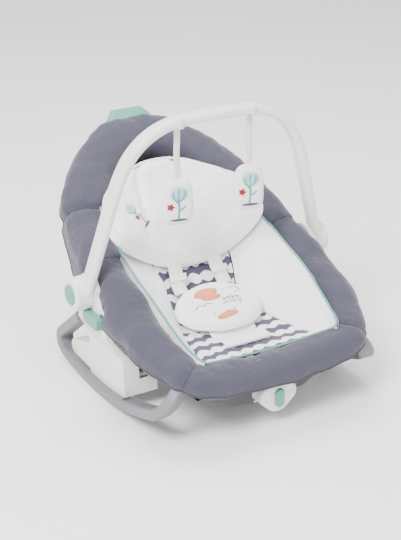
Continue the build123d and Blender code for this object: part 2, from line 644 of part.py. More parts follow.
insert_top = PAN_Z + PAN_THICK + INSERT_THICK + 2 * SOFT_GAP
for name, side in SIDES.items():
    low = BACK_PAN_OFF + PAN_THICK + INSERT_THICK + 2 * SOFT_GAP
    nodes[f"shoulder_pad_{name}"] = slab_n(Pos(side * 41, 12) * RectangleRounded(38, 29, 6), low, low + 11)
    nodes[f"waist_strap_{name}"] = mirror_x(block(24.3, 129, -92, -62, insert_top, insert_top + 3), side)
nodes["harness_pad"] = Pos(0, PAD_Y, PAD_Z) * Rot(PAD_TILT, 0, 0) * extrude(
    Ellipse(PAD_HALF_WIDTH, PAD_HALF_LENGTH), PAD_THICK / 2, both=True)
buckle = block(-24, 24, -100, -62, insert_top, insert_top + 10.5)
nodes["buckle_body"] = buckle - block(-9.4, 9.4, -101, -93, insert_top + 1.6, insert_top + 9.4)
nodes["buckle_button"] = block(-9, 9, -107, -93 - BUCKLE_TRAVEL - 0.5, insert_top + 2, insert_top + 9)
nodes["crotch_strap"] = block(-32, 32, -166, -112, insert_top, insert_top + 3)

# ---------------------------------------------------------------- recline handle

handle_rod = {x: slab_s(Pos(x, -37) * Circle(3), COLLAR_LOW + 8, COLLAR_HIGH + 10) for x in (-28, 28)}
handle_holes = [slab_s(Pos(x, -37) * Circle(3 + RUNNING_GAP), COLLAR_LOW - 1, COLLAR_HIGH + 1) for x in (-28, 28)]
collar = slab_s(Pos(0, -17) * RectangleRounded(2 * HANDLE_HALF + 6, 54, 12), COLLAR_LOW, COLLAR_HIGH)
nodes["handle_collar"] = collar - make_back_tube(BACK_TUBE_RADIUS, 0) - handle_holes
grip_face = area([
    (-HANDLE_HALF, COLLAR_HIGH + 0.5), (-HANDLE_HALF, COLLAR_HIGH + 11),
    (-HANDLE_HALF + 14, COLLAR_HIGH + HANDLE_LENGTH), (HANDLE_HALF - 14, COLLAR_HIGH + HANDLE_LENGTH),
    (HANDLE_HALF, COLLAR_HIGH + 11), (HANDLE_HALF, COLLAR_HIGH + 0.5),
])
grip = slab_n(grip_face, -42, -42 + HANDLE_THICK + 12)
grip = soften(grip, grip.edges().filter_by(Plane(origin=(0, 0, 0), z_dir=tuple(back_n)), reverse=True), 7)
nodes["recline_handle"] = grip + list(handle_rod.values())

# ---------------------------------------------------------------- toy bar and toys

bar_up = Vector(0, -sin(radians(BAR_LEAN)), cos(radians(BAR_LEAN)))
bar_origin = Vector(0, HUB_Y - BAR_OFFSET, HUB_Z)
bar_front = (0, -cos(radians(BAR_LEAN)), -sin(radians(BAR_LEAN)))
bar_plane = Plane(origin=tuple(bar_origin), x_dir=(1, 0, 0), z_dir=bar_front)


def make_bar():
    """Return the toy bar's arch with a hub on each end."""
    top_arc = JernArc((0, BAR_HEIGHT), (1, 0), BAR_TOP_HALF / sin(radians(BAR_TOP_TURN)), -BAR_TOP_TURN)
    corner = JernArc(top_arc @ 1, top_arc % 1, BAR_CORNER_RADIUS, -CORNER_TURN)
    bow = JernArc(corner @ 1, corner % 1, BAR_LEG_RADIUS, -LEG_TURN)
    down = bow % 1
    leg = Line(bow @ 1, (bow @ 1) + down * (((bow @ 1).Y - 4) / -down.Y))
    path = bar_plane * Wire([top_arc, corner, bow, leg])
    section = Plane(origin=path @ 0, x_dir=tuple(bar_up), z_dir=path % 0) * RectangleRounded(BAR_THICK, BAR_DEPTH, 7.5)
    half = sweep(section, path=path)
    hub = rod_x(HUB_RADIUS, PLATE_OUT_X + 1, HUB_FACE_X, HUB_Y, HUB_Z)
    hub = soften(hub, hub.faces().sort_by(Axis.X)[-1].edges(), 5)
    half = half - rod_x(POST_TOP_RADIUS + 5, 200, PLATE_OUT_X + 1, HUB_Y, HUB_Z) + hub
    half = half + rod_x(SPIGOT_RADIUS, plate_in_x + 0.5, PLATE_OUT_X + 2, HUB_Y, HUB_Z)
    half = half - rod_x(CAP_RADIUS + 0.4, HUB_FACE_X - 8, HUB_FACE_X + 5, HUB_Y, HUB_Z)
    half = half - rod_x(5 + RUNNING_GAP, HUB_FACE_X - 28, HUB_FACE_X, HUB_Y, HUB_Z)
    return both_sides(half)


def make_hub_button():
    """Return the right hub's round push button with its stem."""
    cap = rod_x(CAP_RADIUS, HUB_FACE_X - 8 + CAP_TRAVEL + 0.5, HUB_FACE_X + CAP_PROUD, HUB_Y, HUB_Z)
    cap = soften(cap, cap.faces().sort_by(Axis.X)[-1].edges(), 2.5)
    return cap + rod_x(5, HUB_FACE_X - 28 + CAP_TRAVEL + 1, HUB_FACE_X - 2, HUB_Y, HUB_Z)


nodes["toy_bar"] = make_bar()
bar_drop = 3.9
strap_top = bar_origin + bar_up * (BAR_HEIGHT - BAR_THICK / 2 - bar_drop)
for name, side in SIDES.items():
    nodes[f"hub_button_{name}"] = mirror_x(make_hub_button(), side)
    nodes[f"toy_strap_{name}"] = block(side * TOY_X - STRAP_WIDTH / 2, side * TOY_X + STRAP_WIDTH / 2,
                                       strap_top.Y - STRAP_THICK / 2, strap_top.Y + STRAP_THICK / 2,
                                       TOY_TOP_Z + 0.1, strap_top.Z)
    toy = Pos(side * TOY_X, strap_top.Y, TOY_TOP_Z - TOY_HEIGHT / 2) * Rot(90, 0, 0) * extrude(
        RectangleRounded(TOY_WIDTH, TOY_HEIGHT, 22), TOY_THICK / 2, both=True)
    nodes[f"toy_{name}"] = soften(toy, toy.edges(), 4)

# ---------------------------------------------------------------- vibration unit


def unit_outline(inset):
    """Return the unit's rounded outline in the XZ plane."""
    low = Pos(0, UNIT_Z - 2) * Circle(UNIT_HEIGHT / 2 - 4 - inset)
    left = Pos(-18, UNIT_Z + 5) * Circle(UNIT_HALF - 18 - inset)
    right = Pos(18, UNIT_Z + 5) * Circle(UNIT_HALF - 18 - inset)
    return make_hull((low + left + right).edges())


split_y = UNIT_FACE_Y + UNIT_DEPTH / 2
rear_y = UNIT_FACE_Y + UNIT_DEPTH
cavity = slab_y(unit_outline(UNIT_WALL), UNIT_FACE_Y + UNIT_WALL, rear_y - UNIT_WALL)
unit_screw_points = [(-31, UNIT_Z + 5), (31, UNIT_Z + 5)]
posts = [Pos(x, split_y, z) * Rot(90, 0, 0) * Cylinder(4, UNIT_DEPTH - 3) for x, z in unit_screw_points]
screws = [
    Pos(x, rear_y - 9.5, z) * Rot(90, 0, 0) * Cylinder(1.5, 19)
    + Pos(x, rear_y - 1, z) * Rot(90, 0, 0) * Cylinder(2.8, 2)
    for x, z in unit_screw_points
]
front_shell = slab_y(unit_outline(0), UNIT_FACE_Y, split_y)
front_shell = soften(front_shell, front_shell.faces().sort_by(Axis.Y)[0].edges(), 5)
rear_shell = slab_y(unit_outline(0), split_y, rear_y)
stem_slot = block(-3.3, 3.3, UNIT_FACE_Y - 1, UNIT_FACE_Y + UNIT_WALL + 1, UNIT_Z - 5 - PILL_TRAVEL - 0.3,
                  UNIT_Z + 5 + PILL_TRAVEL + 0.3)
nodes["unit_front"] = (front_shell - cavity + [p & front_shell for p in posts]) - screws - stem_slot
nodes["unit_back"] = (rear_shell - cavity + [p & rear_shell for p in posts]) - screws - block(
    -26, 26, rear_y - UNIT_WALL - 1, rear_y + 1, UNIT_Z - 17, UNIT_Z + 13)
nodes["unit_screws"] = screws
nodes["unit_bracket"] = block(-12, 12, -254, -250, UNIT_Z + UNIT_HEIGHT / 2 - 3, 115) - seat_tube_core
nodes["battery_door"] = block(-29, 29, rear_y + 0.1, rear_y + 2.1, UNIT_Z - 20, UNIT_Z + 16)
nodes["battery_cells"] = [rod_x(CELL_RADIUS, -CELL_LENGTH / 2, CELL_LENGTH / 2, rear_y - UNIT_WALL - 7.6, z)
                          for z in (UNIT_Z - 3.5, UNIT_Z + 11.5)]
motor_y = UNIT_FACE_Y + UNIT_WALL + 6.6
motor_z = UNIT_Z + 16
nodes["motor"] = rod_x(5.5, -16, 4, motor_y, motor_z) + rod_x(1, 4, 12, motor_y, motor_z)
weight = (rod_x(5.5, 6, 11, motor_y, motor_z) & block(5, 12, motor_y - 6, motor_y + 6, motor_z - 6, motor_z)) + rod_x(
    2.5, 6, 11, motor_y, motor_z)
nodes["motor_weight"] = weight - rod_x(1 + RUNNING_GAP, 5, 13, motor_y, motor_z)
pill = extrude(Plane(origin=(0, UNIT_FACE_Y - 0.3, UNIT_Z), x_dir=(1, 0, 0), z_dir=(0, -1, 0))
               * SlotOverall(PILL_HEIGHT, PILL_WIDTH, rotation=90), 5)
pill = soften(pill, pill.faces().sort_by(Axis.Y)[0].edges(), 2.5)
nodes["vibration_switch"] = pill + block(-3, 3, UNIT_FACE_Y - 1, UNIT_FACE_Y + UNIT_WALL + 0.8, UNIT_Z - 5, UNIT_Z + 5)

# ---------------------------------------------------------------- write the pieces

os.makedirs("parts", exist_ok=True)
for node, made in nodes.items():
    pieces = made if isinstance(made, list) else [made]
    solids = [solid for piece in pieces for solid in piece.solids()]
    whole = solids[0] if len(solids) == 1 else Compound(solids)
    export_step(Pos(0, ORIGIN_SHIFT_Y, 0) * whole, f"parts/{node}.step")
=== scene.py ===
"""Finishes, padding and studio for the rocking bouncer seat.

Lengths in the size fields are millimetres in the seat's drawing frame: X across, -Y to the foot end, Z up.
spot() and on_back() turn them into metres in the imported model's frame.
"""

import json
import logging
import math
from collections.abc import Callable, Sequence
from dataclasses import dataclass, field
from enum import Enum

import bmesh
import bpy
import numpy as np
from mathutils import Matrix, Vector, noise
from mathutils.bvhtree import BVHTree


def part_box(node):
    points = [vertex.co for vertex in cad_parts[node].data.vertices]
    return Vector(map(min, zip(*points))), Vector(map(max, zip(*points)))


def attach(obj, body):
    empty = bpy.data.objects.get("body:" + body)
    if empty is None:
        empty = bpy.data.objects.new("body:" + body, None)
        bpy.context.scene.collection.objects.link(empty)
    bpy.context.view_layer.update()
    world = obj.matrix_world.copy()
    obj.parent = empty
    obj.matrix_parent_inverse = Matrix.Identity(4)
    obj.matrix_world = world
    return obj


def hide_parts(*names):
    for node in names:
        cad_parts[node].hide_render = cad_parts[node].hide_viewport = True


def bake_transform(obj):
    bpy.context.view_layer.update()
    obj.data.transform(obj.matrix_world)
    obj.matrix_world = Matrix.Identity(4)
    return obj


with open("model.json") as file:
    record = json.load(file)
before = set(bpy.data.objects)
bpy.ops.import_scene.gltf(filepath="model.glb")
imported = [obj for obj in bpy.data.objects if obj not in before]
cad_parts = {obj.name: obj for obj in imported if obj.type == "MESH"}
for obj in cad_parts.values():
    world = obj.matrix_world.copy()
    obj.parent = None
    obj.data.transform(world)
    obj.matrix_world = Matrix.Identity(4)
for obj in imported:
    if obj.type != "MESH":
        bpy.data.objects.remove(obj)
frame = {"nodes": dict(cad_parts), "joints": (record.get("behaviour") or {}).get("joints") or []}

LOG = logging.getLogger("seat")
MILLI = 0.001
JOINTS = {joint["name"]: joint for joint in frame["joints"]}
HUB_HEIGHT = 206.0
HUB_BACK = 5.0
ZERO = Vector(JOINTS["recline"]["pos_m"]) + Vector((0, HUB_BACK, -HUB_HEIGHT)) * MILLI
BACK_ANGLE = math.radians(37.7)
BACK_FOOT = Vector((0, -10, 184))
BACK_UP = Vector((0, math.cos(BACK_ANGLE), math.sin(BACK_ANGLE)))
BACK_OUT = Vector((0, -math.sin(BACK_ANGLE), math.cos(BACK_ANGLE)))
SIDES = {"left": -1, "right": 1}
Colour = tuple[float, float, float]
Point = tuple[float, float, float]
Skin = Callable[[float, float, float], Vector]
CLOTH_STEPS = 20
CLOTH_TENSION = 12
CLOTH_BENDING = 0.4
STITCH_GAP = 0.0052
TINY = 1e-9
WAVE_TURN = 6.28


class Body(str, Enum):
    """The moving bodies that carry pieces of this file."""

    BASE = "base"
    BACK = "backrest"
    BAR = "toy_bar"


class Weave(Enum):
    """How a cloth's surface is made."""

    CANVAS = 900.0
    KNIT = 700.0
    MESH = 420.0


def spot(x: float, y: float, z: float) -> Vector:
    """Return a drawing point in metres in the model's frame."""
    return ZERO + Vector((x, y, z)) * MILLI


def on_back(x: float, s: float, off: float) -> Vector:
    """Return the drawing point at x, s up the back and off out of its face, in millimetres."""
    return BACK_FOOT + Vector((x, 0, 0)) + BACK_UP * s + BACK_OUT * off


def linear(colour: Colour) -> tuple[float, float, float, float]:
    """Return a display colour of 0 to 255 as a linear one with alpha."""
    parts = [(c / 255 / 12.92 if c < 10 else ((c / 255 + 0.055) / 1.055) ** 2.4) for c in colour]
    return parts[0], parts[1], parts[2], 1.0


def square_off(value: float, power: float) -> float:
    """Return a sine or cosine pushed outwards, so that a round becomes squarer as the power falls."""
    return math.copysign(abs(value) ** power, value)


def catmull(rows: np.ndarray, samples: int, closed: bool = False) -> np.ndarray:
    """Return points along the smooth curve through rows.

    Args:
        rows: Points or any rows of numbers to interpolate.
        samples: How many rows to return.
        closed: Whether the curve runs back to its start.

    Returns:
        The interpolated rows.
    """
    rows = np.asarray(rows, float)
    count = len(rows)
    spans = count if closed else count - 1
    times = np.linspace(0, spans, samples, endpoint=not closed)
    first = np.minimum(times.astype(int), spans - 1)
    t = (times - first)[:, None]

    def row(index: np.ndarray) -> np.ndarray:
        """Return the rows at an index, wrapped or held at the ends."""
        return rows[index % count] if closed else rows[np.clip(index, 0, count - 1)]

    a, b, c, d = row(first - 1), row(first), row(first + 1), row(first + 2)
    return 0.5 * (2 * b + (c - a) * t + (2 * a - 5 * b + 4 * c - d) * t**2 + (3 * b - a - 3 * c + d) * t**3)


# ---------------------------------------------------------------- finishes


def add_node(tree: bpy.types.NodeTree, kind: str, **values: object) -> bpy.types.Node:
    """Add a node to a tree and set its properties, or its inputs where the name starts with in_.

    Args:
        tree: The material's or the geometry's tree.
        kind: The node's type.
        values: Property names, or in_ and the input's name or number; a socket as value is linked.

    Returns:
        The node.
    """
    made = tree.nodes.new(kind)
    for key, value in values.items():
        if not key.startswith("in_"):
            setattr(made, key, value)
            continue
        name = key[3:].replace("_", " ")
        put = made.inputs[int(name)] if name.isdigit() else made.inputs[name]
        if isinstance(value, bpy.types.NodeSocket):
            tree.links.new(value, put)
        else:
            put.default_value = value
    return made


class Pen:
    """Writes the nodes of one material."""

    def __init__(self, name: str) -> None:
        """Start a material with one shader."""
        self.material = bpy.data.materials.new(name)
        self.material.use_nodes = True
        self.tree = self.material.node_tree
        self.shader = self.tree.nodes["Principled BSDF"]
        self.place = self.node("ShaderNodeTexCoord").outputs["Object"]

    def node(self, kind: str, **values: object) -> bpy.types.Node:
        """Add a node to the material, as add_node does."""
        return add_node(self.tree, kind, **values)

    def math(self, operation: str, a: object, b: object = 0.0) -> bpy.types.NodeSocket:
        """Return one sum, product or other operation."""
        return self.node("ShaderNodeMath", operation=operation, in_0=a, in_1=b).outputs[0]

    def noise(self, scale: float, detail: float = 3.0, at: object = None) -> bpy.types.NodeSocket:
        """Return a noise of 0 to 1."""
        made = self.node("ShaderNodeTexNoise", in_Vector=at or self.place, in_Scale=scale, in_Detail=detail)
        return made.outputs[0]

    def mix(self, share: object, a: object, b: object) -> bpy.types.NodeSocket:
        """Return colour a, turned to b by the share."""
        return self.node("ShaderNodeMix", data_type="RGBA", in_0=share, in_6=a, in_7=b).outputs[2]

    def bump(self, height: object, distance: float, strength: float = 1.0,
             under: bpy.types.NodeSocket | None = None) -> bpy.types.NodeSocket:
        """Return a normal roughened by a height, at most the distance in metres, on top of another normal.

        Args:
            height: The height, from 0 to 1.
            distance: The height in metres that 1 stands for.
            strength: How much of it shows.
            under: A normal that it lies on.

        Returns:
            The normal.
        """
        made = self.node("ShaderNodeBump", in_Height=height, in_Distance=distance, in_Strength=strength)
        if under is not None:
            self.tree.links.new(under, made.inputs["Normal"])
        return made.outputs[0]

    def finish(self, colour: object, normal: object, **constants: float) -> bpy.types.Material:
        """Put the colour, normal and constants on the shader and return the material.

        Args:
            colour: The base colour, or a socket of it.
            normal: The normal, or none.
            constants: Other inputs by name, the same all over.

        Returns:
            The material.
        """
        for name, value in (("Base Color", colour), ("Normal", normal)):
            if isinstance(value, bpy.types.NodeSocket):
                self.tree.links.new(value, self.shader.inputs[name])
            elif value is not None:
                self.shader.inputs[name].default_value = value
        for name, value in constants.items():
            self.shader.inputs[name.replace("_", " ")].default_value = value
        return self.material


@dataclass(frozen=True)
class Cloth:
    """A woven or knitted fabric with thread, slubs and soft creases."""

    name: str
    colour: Colour
    shade: Colour
    weave: Weave = Weave.CANVAS
    crease: float = 0.0012
    sheen: float = 0.25

    def threads(self, pen: Pen) -> bpy.types.NodeSocket:
        """Return the height of the crossing threads.

        Args:
            pen: The material's pen.

        Returns:
            The height, from 0 up.
        """
        found = []
        for axis in ("X", "Y", "Z"):
            wave = pen.node("ShaderNodeTexWave", bands_direction=axis, in_Vector=pen.place,
                            in_Scale=self.weave.value / WAVE_TURN, in_Distortion=0.6, in_Detail=1.0)
            found.append(wave.outputs["Fac"])
        return pen.math("MULTIPLY", pen.math("ADD", found[0], found[1]), pen.math("ADD", found[2], 0.5))

    def surface(self, pen: Pen) -> bpy.types.NodeSocket:
        """Return the normal of threads on top of creases."""
        folds = pen.bump(pen.noise(46.0, 3.0), self.crease, 0.9)
        return pen.bump(self.threads(pen), 0.00016, 0.6, folds)

    def base(self, pen: Pen) -> bpy.types.NodeSocket:
        """Return the cloth's own colour with a little fading and slub."""
        patch = pen.math("MULTIPLY", pen.noise(11.0, 4.0), 0.5)
        slub = pen.math("MULTIPLY", pen.noise(420.0, 2.0), 0.5)
        return pen.mix(pen.math("ADD", patch, slub), linear(self.colour), linear(self.shade))

    def make(self) -> bpy.types.Material:
        """Return the finished material."""
        pen = Pen(self.name)
        return pen.finish(self.base(pen), self.surface(pen), Roughness=0.86, Sheen_Weight=self.sheen,
                          Sheen_Roughness=0.5, Specular_IOR_Level=0.25)


@dataclass(frozen=True)
class CloudPrint(Cloth):
    """The white cloth of the middle panel, printed with rows of round-edged clouds."""

    ink: Colour = (76, 73, 94)
    pitch: float = 0.033
    puff: float = 0.027

    def base(self, pen: Pen) -> bpy.types.NodeSocket:
        """Return the printed colour, laid out on the panel's own UV map in metres.

        Args:
            pen: The material's pen.

        Returns:
            The colour.
        """
        uv = pen.node("ShaderNodeUVMap", uv_map="lay").outputs[0]
        split = pen.node("ShaderNodeSeparateXYZ", in_0=uv)
        wobble = pen.math("MULTIPLY", pen.math("SUBTRACT", pen.noise(26.0, 1.0, uv), 0.5), 0.008)
        across = pen.math("ADD", split.outputs[0], wobble)
        rows = pen.math("DIVIDE", pen.math("ADD", split.outputs[1], wobble), self.pitch)
        row = pen.math("FLOOR", rows)
        within = pen.math("FRACT", rows)
        shift = pen.math("MULTIPLY", row, self.puff * 0.37)
        turn = pen.math("DIVIDE", pen.math("ADD", across, shift), self.puff / math.pi)
        low = pen.math("MULTIPLY", pen.math("ABSOLUTE", pen.math("SINE", turn)), 0.24)
        drift = pen.math("MULTIPLY", turn, 1.13)
        high = pen.math("MULTIPLY", pen.math("ABSOLUTE", pen.math("COSINE", drift)), 0.2)
        above = pen.math("GREATER_THAN", within, pen.math("SUBTRACT", 0.52, low))
        below = pen.math("LESS_THAN", within, pen.math("ADD", 0.76, high))
        cloud = pen.math("MULTIPLY", above, below)
        cloth = pen.mix(pen.noise(15.0), linear(self.colour), linear(self.shade))
        return pen.mix(cloud, linear(self.ink), cloth)


@dataclass(frozen=True)
class Webbing:
    """Flat woven tape with ribs along its length."""

    name: str
    colour: Colour

    def make(self) -> bpy.types.Material:
        """Return the finished material."""
        pen = Pen(self.name)
        ribs = pen.node("ShaderNodeTexWave", bands_direction="X", in_Vector=pen.place, in_Scale=190.0,
                        in_Distortion=0.3).outputs["Fac"]
        picks = pen.node("ShaderNodeTexWave", bands_direction="Z", in_Vector=pen.place,
                         in_Scale=260.0).outputs["Fac"]
        shade = tuple(c * 0.86 for c in self.colour)
        base = pen.mix(pen.math("MULTIPLY", ribs, 0.5), linear(self.colour), linear(shade))
        normal = pen.bump(pen.math("ADD", ribs, picks), 0.0003, 0.8)
        return pen.finish(base, normal, Roughness=0.8, Sheen_Weight=0.2, Specular_IOR_Level=0.3)


@dataclass(frozen=True)
class Moulded:
    """Injection-moulded plastic with fine grain and slight scuffing."""

    name: str
    colour: Colour
    rough: float = 0.38
    grain: float = 0.00008
    coat: float = 0.0

    def make(self) -> bpy.types.Material:
        """Return the finished material."""
        pen = Pen(self.name)
        shade = tuple(c * 0.93 for c in self.colour)
        base = pen.mix(pen.noise(9.0, 5.0), linear(self.colour), linear(shade))
        rough = pen.node("ShaderNodeMapRange", in_Value=pen.noise(60.0, 4.0), in_3=self.rough - 0.05,
                         in_4=self.rough + 0.1).outputs[0]
        pen.tree.links.new(rough, pen.shader.inputs["Roughness"])
        flow = pen.bump(pen.noise(14.0, 1.0), 0.0004, 0.4)
        normal = pen.bump(pen.noise(1400.0, 2.0), self.grain, 0.7, flow)
        return pen.finish(base, normal, Coat_Weight=self.coat, Coat_Roughness=0.2)


@dataclass(frozen=True)
class Metal:
    """Brushed or coated steel."""

    name: str
    colour: Colour
    metallic: float = 1.0

    def make(self) -> bpy.types.Material:
        """Return the finished material."""
        pen = Pen(self.name)
        stretch = pen.node("ShaderNodeMapping", in_Vector=pen.place, in_Scale=(20.0, 400.0, 400.0)).outputs[0]
        brushed = pen.noise(3.0, 5.0, stretch)
        base = pen.mix(brushed, linear(self.colour), linear(tuple(c * 0.8 for c in self.colour)))
        return pen.finish(base, pen.bump(brushed, 0.00005, 0.6), Metallic=self.metallic, Roughness=0.42)


@dataclass
class Finishes:
    """Every material of the seat, made once."""

    cover: Cloth = Cloth("cover_cloth", (73, 71, 86), (60, 59, 72), Weave.CANVAS, 0.0026, 0.22)
    lining: Cloth = Cloth("lining_cloth", (84, 83, 87), (72, 71, 76), Weave.MESH, 0.002, 0.1)
    white: Cloth = Cloth("soft_white_cloth", (246, 245, 243), (238, 237, 236), Weave.KNIT, 0.0016, 0.3)
    print: CloudPrint = CloudPrint("cloud_print_cloth", (246, 245, 244), (238, 237, 238), Weave.KNIT, 0.001,
                                   0.15)
    strap: Cloth = Cloth("strap_cloth", (238, 234, 226), (228, 224, 216), Weave.CANVAS, 0.0008, 0.2)
    mint_edge: Cloth = Cloth("mint_piping", (104, 162, 156), (86, 144, 140), Weave.CANVAS, 0.0004, 0.3)
    dark_edge: Cloth = Cloth("dark_piping", (62, 61, 70), (52, 51, 60), Weave.CANVAS, 0.0004, 0.2)
    thread: Cloth = Cloth("sewing_thread", (170, 168, 178), (150, 148, 160), Weave.CANVAS, 0.0001, 0.2)
    teal: Cloth = Cloth("teal_embroidery", (86, 160, 160), (68, 140, 142), Weave.CANVAS, 0.0003, 0.2)
    pale_teal: Cloth = Cloth("pale_teal_patch", (172, 214, 208), (152, 198, 194), Weave.KNIT, 0.0003, 0.2)
    red: Cloth = Cloth("red_embroidery", (158, 40, 38), (132, 32, 32), Weave.CANVAS, 0.0003, 0.2)
    plum: Cloth = Cloth("plum_embroidery", (88, 78, 92), (74, 66, 78), Weave.CANVAS, 0.0003, 0.2)
    peach: Cloth = Cloth("peach_patch", (234, 132, 102), (222, 118, 90), Weave.KNIT, 0.0003, 0.2)
    tape: Webbing = Webbing("cream_tape", (244, 239, 230))
    dark_tape: Webbing = Webbing("dark_tape", (96, 95, 102))
    shell: Moulded = Moulded("white_shell", (240, 237, 233), 0.34, 0.00005, 0.15)
    mint: Moulded = Moulded("mint_plastic", (92, 158, 142), 0.42)
    rail: Moulded = Moulded("grey_rail", (120, 120, 125), 0.46, 0.00012)
    dark: Moulded = Moulded("dark_plastic", (92, 92, 100), 0.5, 0.0001)
    steel: Metal = Metal("coated_steel", (120, 122, 126), 0.6)
    zinc: Metal = Metal("zinc_fastener", (188, 188, 190))
    board: Moulded = Moulded("stiffener_board", (190, 190, 188), 0.6)
    cell: Metal = Metal("cell_jacket", (70, 78, 84), 0.5)
    made: dict[str, bpy.types.Material] = field(default_factory=dict)

    def get(self, name: str) -> bpy.types.Material:
        """Return the material of one finish, made on first use."""
        if name not in self.made:
            self.made[name] = getattr(self, name).make()
        return self.made[name]


FINISH = Finishes()


# ---------------------------------------------------------------- mesh tools


def new_piece(name: str, points: Sequence, faces: Sequence, finish: str) -> bpy.types.Object:
    """Make a smooth mesh object with outward normals.

    Args:
        name: The piece's name.
        points: Corner points in metres.
        faces: Corner numbers of each face.
        finish: The name of a finish.

    Returns:
        The object, linked to the scene.
    """
    mesh = bpy.data.meshes.new(name)
    mesh.from_pydata([tuple(p) for p in points], [], [tuple(f) for f in faces])
    mesh.validate()
    work = bmesh.new()
    work.from_mesh(mesh)
    bmesh.ops.recalc_face_normals(work, faces=work.faces)
    for face in work.faces:
        face.smooth = True
    work.to_mesh(mesh)
    work.free()
    mesh.materials.append(FINISH.get(finish))
    piece = bpy.data.objects.new(name, mesh)
    bpy.context.scene.collection.objects.link(piece)
    return piece


def settle(piece: bpy.types.Object) -> bpy.types.Object:
    """Apply every modifier of a piece to its mesh and return the piece.

    Args:
        piece: The piece whose modifiers are applied.

    Returns:
        The piece, with a plain mesh.
    """
    bpy.context.view_layer.update()
    graph = bpy.context.evaluated_depsgraph_get()
    mesh = bpy.data.meshes.new_from_object(piece.evaluated_get(graph))
    piece.modifiers.clear()
    piece.data = mesh
    return piece


def modify(piece: bpy.types.Object, kind: str, **values: object) -> bpy.types.Object:
    """Apply one modifier with the given values and return the piece.

    Args:
        piece: The piece to change.
        kind: The modifier's type.
        values: Its settings.

    Returns:
        The piece, with a plain mesh.
    """
    made = piece.modifiers.new(kind.lower(), kind)
    for key, value in values.items():
        setattr(made, key, value)
    return settle(piece)


def subdivide(piece: bpy.types.Object, levels: int = 1) -> bpy.types.Object:
    """Smooth a piece by subdivision."""
    return modify(piece, "SUBSURF", levels=levels, render_levels=levels)


def grid_faces(rows: int, columns: int, wrap_rows: bool = False,
               wrap_columns: bool = False) -> list[tuple[int, ...]]:
    """Return the four-sided faces of a grid of points, kept row by row.

    Args:
        rows: How many rows of points.
        columns: How many points in a row.
        wrap_rows: Whether the last row joins the first.
        wrap_columns: Whether each row's last point joins its first.

    Returns:
        The corner numbers of each face.
    """
    found = []
    for i in range(rows if wrap_rows else rows - 1):
        for j in range(columns if wrap_columns else columns - 1):
            k, m = (i + 1) % rows, (j + 1) % columns
            found.append((i * columns + j, i * columns + m, k * columns + m, k * columns + j))
    return found


def ripple(piece: bpy.types.Object, depth: float, scale: Point, seed: float = 0.0) -> bpy.types.Object:
    """Move a piece's points along their normals by smooth noise.

    Args:
        piece: The piece to wrinkle.
        depth: The largest movement, in millimetres.
        scale: How fast the noise changes along each axis, per metre.
        seed: Which part of the noise is read.

    Returns:
        The piece.
    """
    start = [v.co.copy() for v in piece.data.vertices]
    normals = [v.normal.copy() for v in piece.data.vertices]
    for vertex, place, normal in zip(piece.data.vertices, start, normals):
        at = Vector((place.x * scale[0] + seed, place.y * scale[1], place.z * scale[2]))
        vertex.co = place + normal * (noise.noise(at) * depth * MILLI)
    piece.data.update()
    return piece


def puff(piece: bpy.types.Object, cap: float, pressure: float = 4.0,
         voxel: float = 0.005) -> bpy.types.Object:
    """Blow a padded piece up as cloth, so that its skin swells and wrinkles.

    Args:
        piece: A closed mesh, a little smaller than the finished pad.
        cap: How far a point may move, in millimetres.
        pressure: The pressure inside.
        voxel: The size of the remesh, in metres.

    Returns:
        The piece, with no modifier left on it.
    """
    modify(piece, "REMESH", mode="VOXEL", voxel_size=voxel, use_smooth_shade=True)
    rest = np.array([v.co for v in piece.data.vertices], float)
    cloth = piece.modifiers.new("cloth", "CLOTH")
    cloth.settings.use_pressure = True
    cloth.settings.uniform_pressure_force = pressure
    cloth.settings.effector_weights.gravity = 0
    cloth.settings.tension_stiffness = CLOTH_TENSION
    cloth.settings.bending_stiffness = CLOTH_BENDING
    for number in range(1, CLOTH_STEPS + 1):
        bpy.context.scene.frame_set(number)
    settle(piece)
    bpy.context.scene.frame_set(1)
    moved = np.array([v.co for v in piece.data.vertices], float)
    step = moved - rest
    reach = np.linalg.norm(step, axis=1, keepdims=True)
    step *= np.minimum(1, cap * MILLI / np.maximum(reach, TINY))
    piece.data.vertices.foreach_set("co", (rest + step).ravel())
    piece.data.update()
    for face in piece.data.polygons:
        face.use_smooth = True
    return subdivide(piece)


def skin_tree(piece: bpy.types.Object) -> BVHTree:
    """Return a search tree over a piece's faces."""
    mesh = piece.data
    return BVHTree.FromPolygons([v.co for v in mesh.vertices], [p.vertices for p in mesh.polygons])


def hug(line: Sequence[Vector], piece: bpy.types.Object) -> list[Vector]:
    """Return each point of a line moved onto the nearest place of a piece's skin."""
    skin = skin_tree(piece)
    return [skin.find_nearest(place)[0] for place in line]


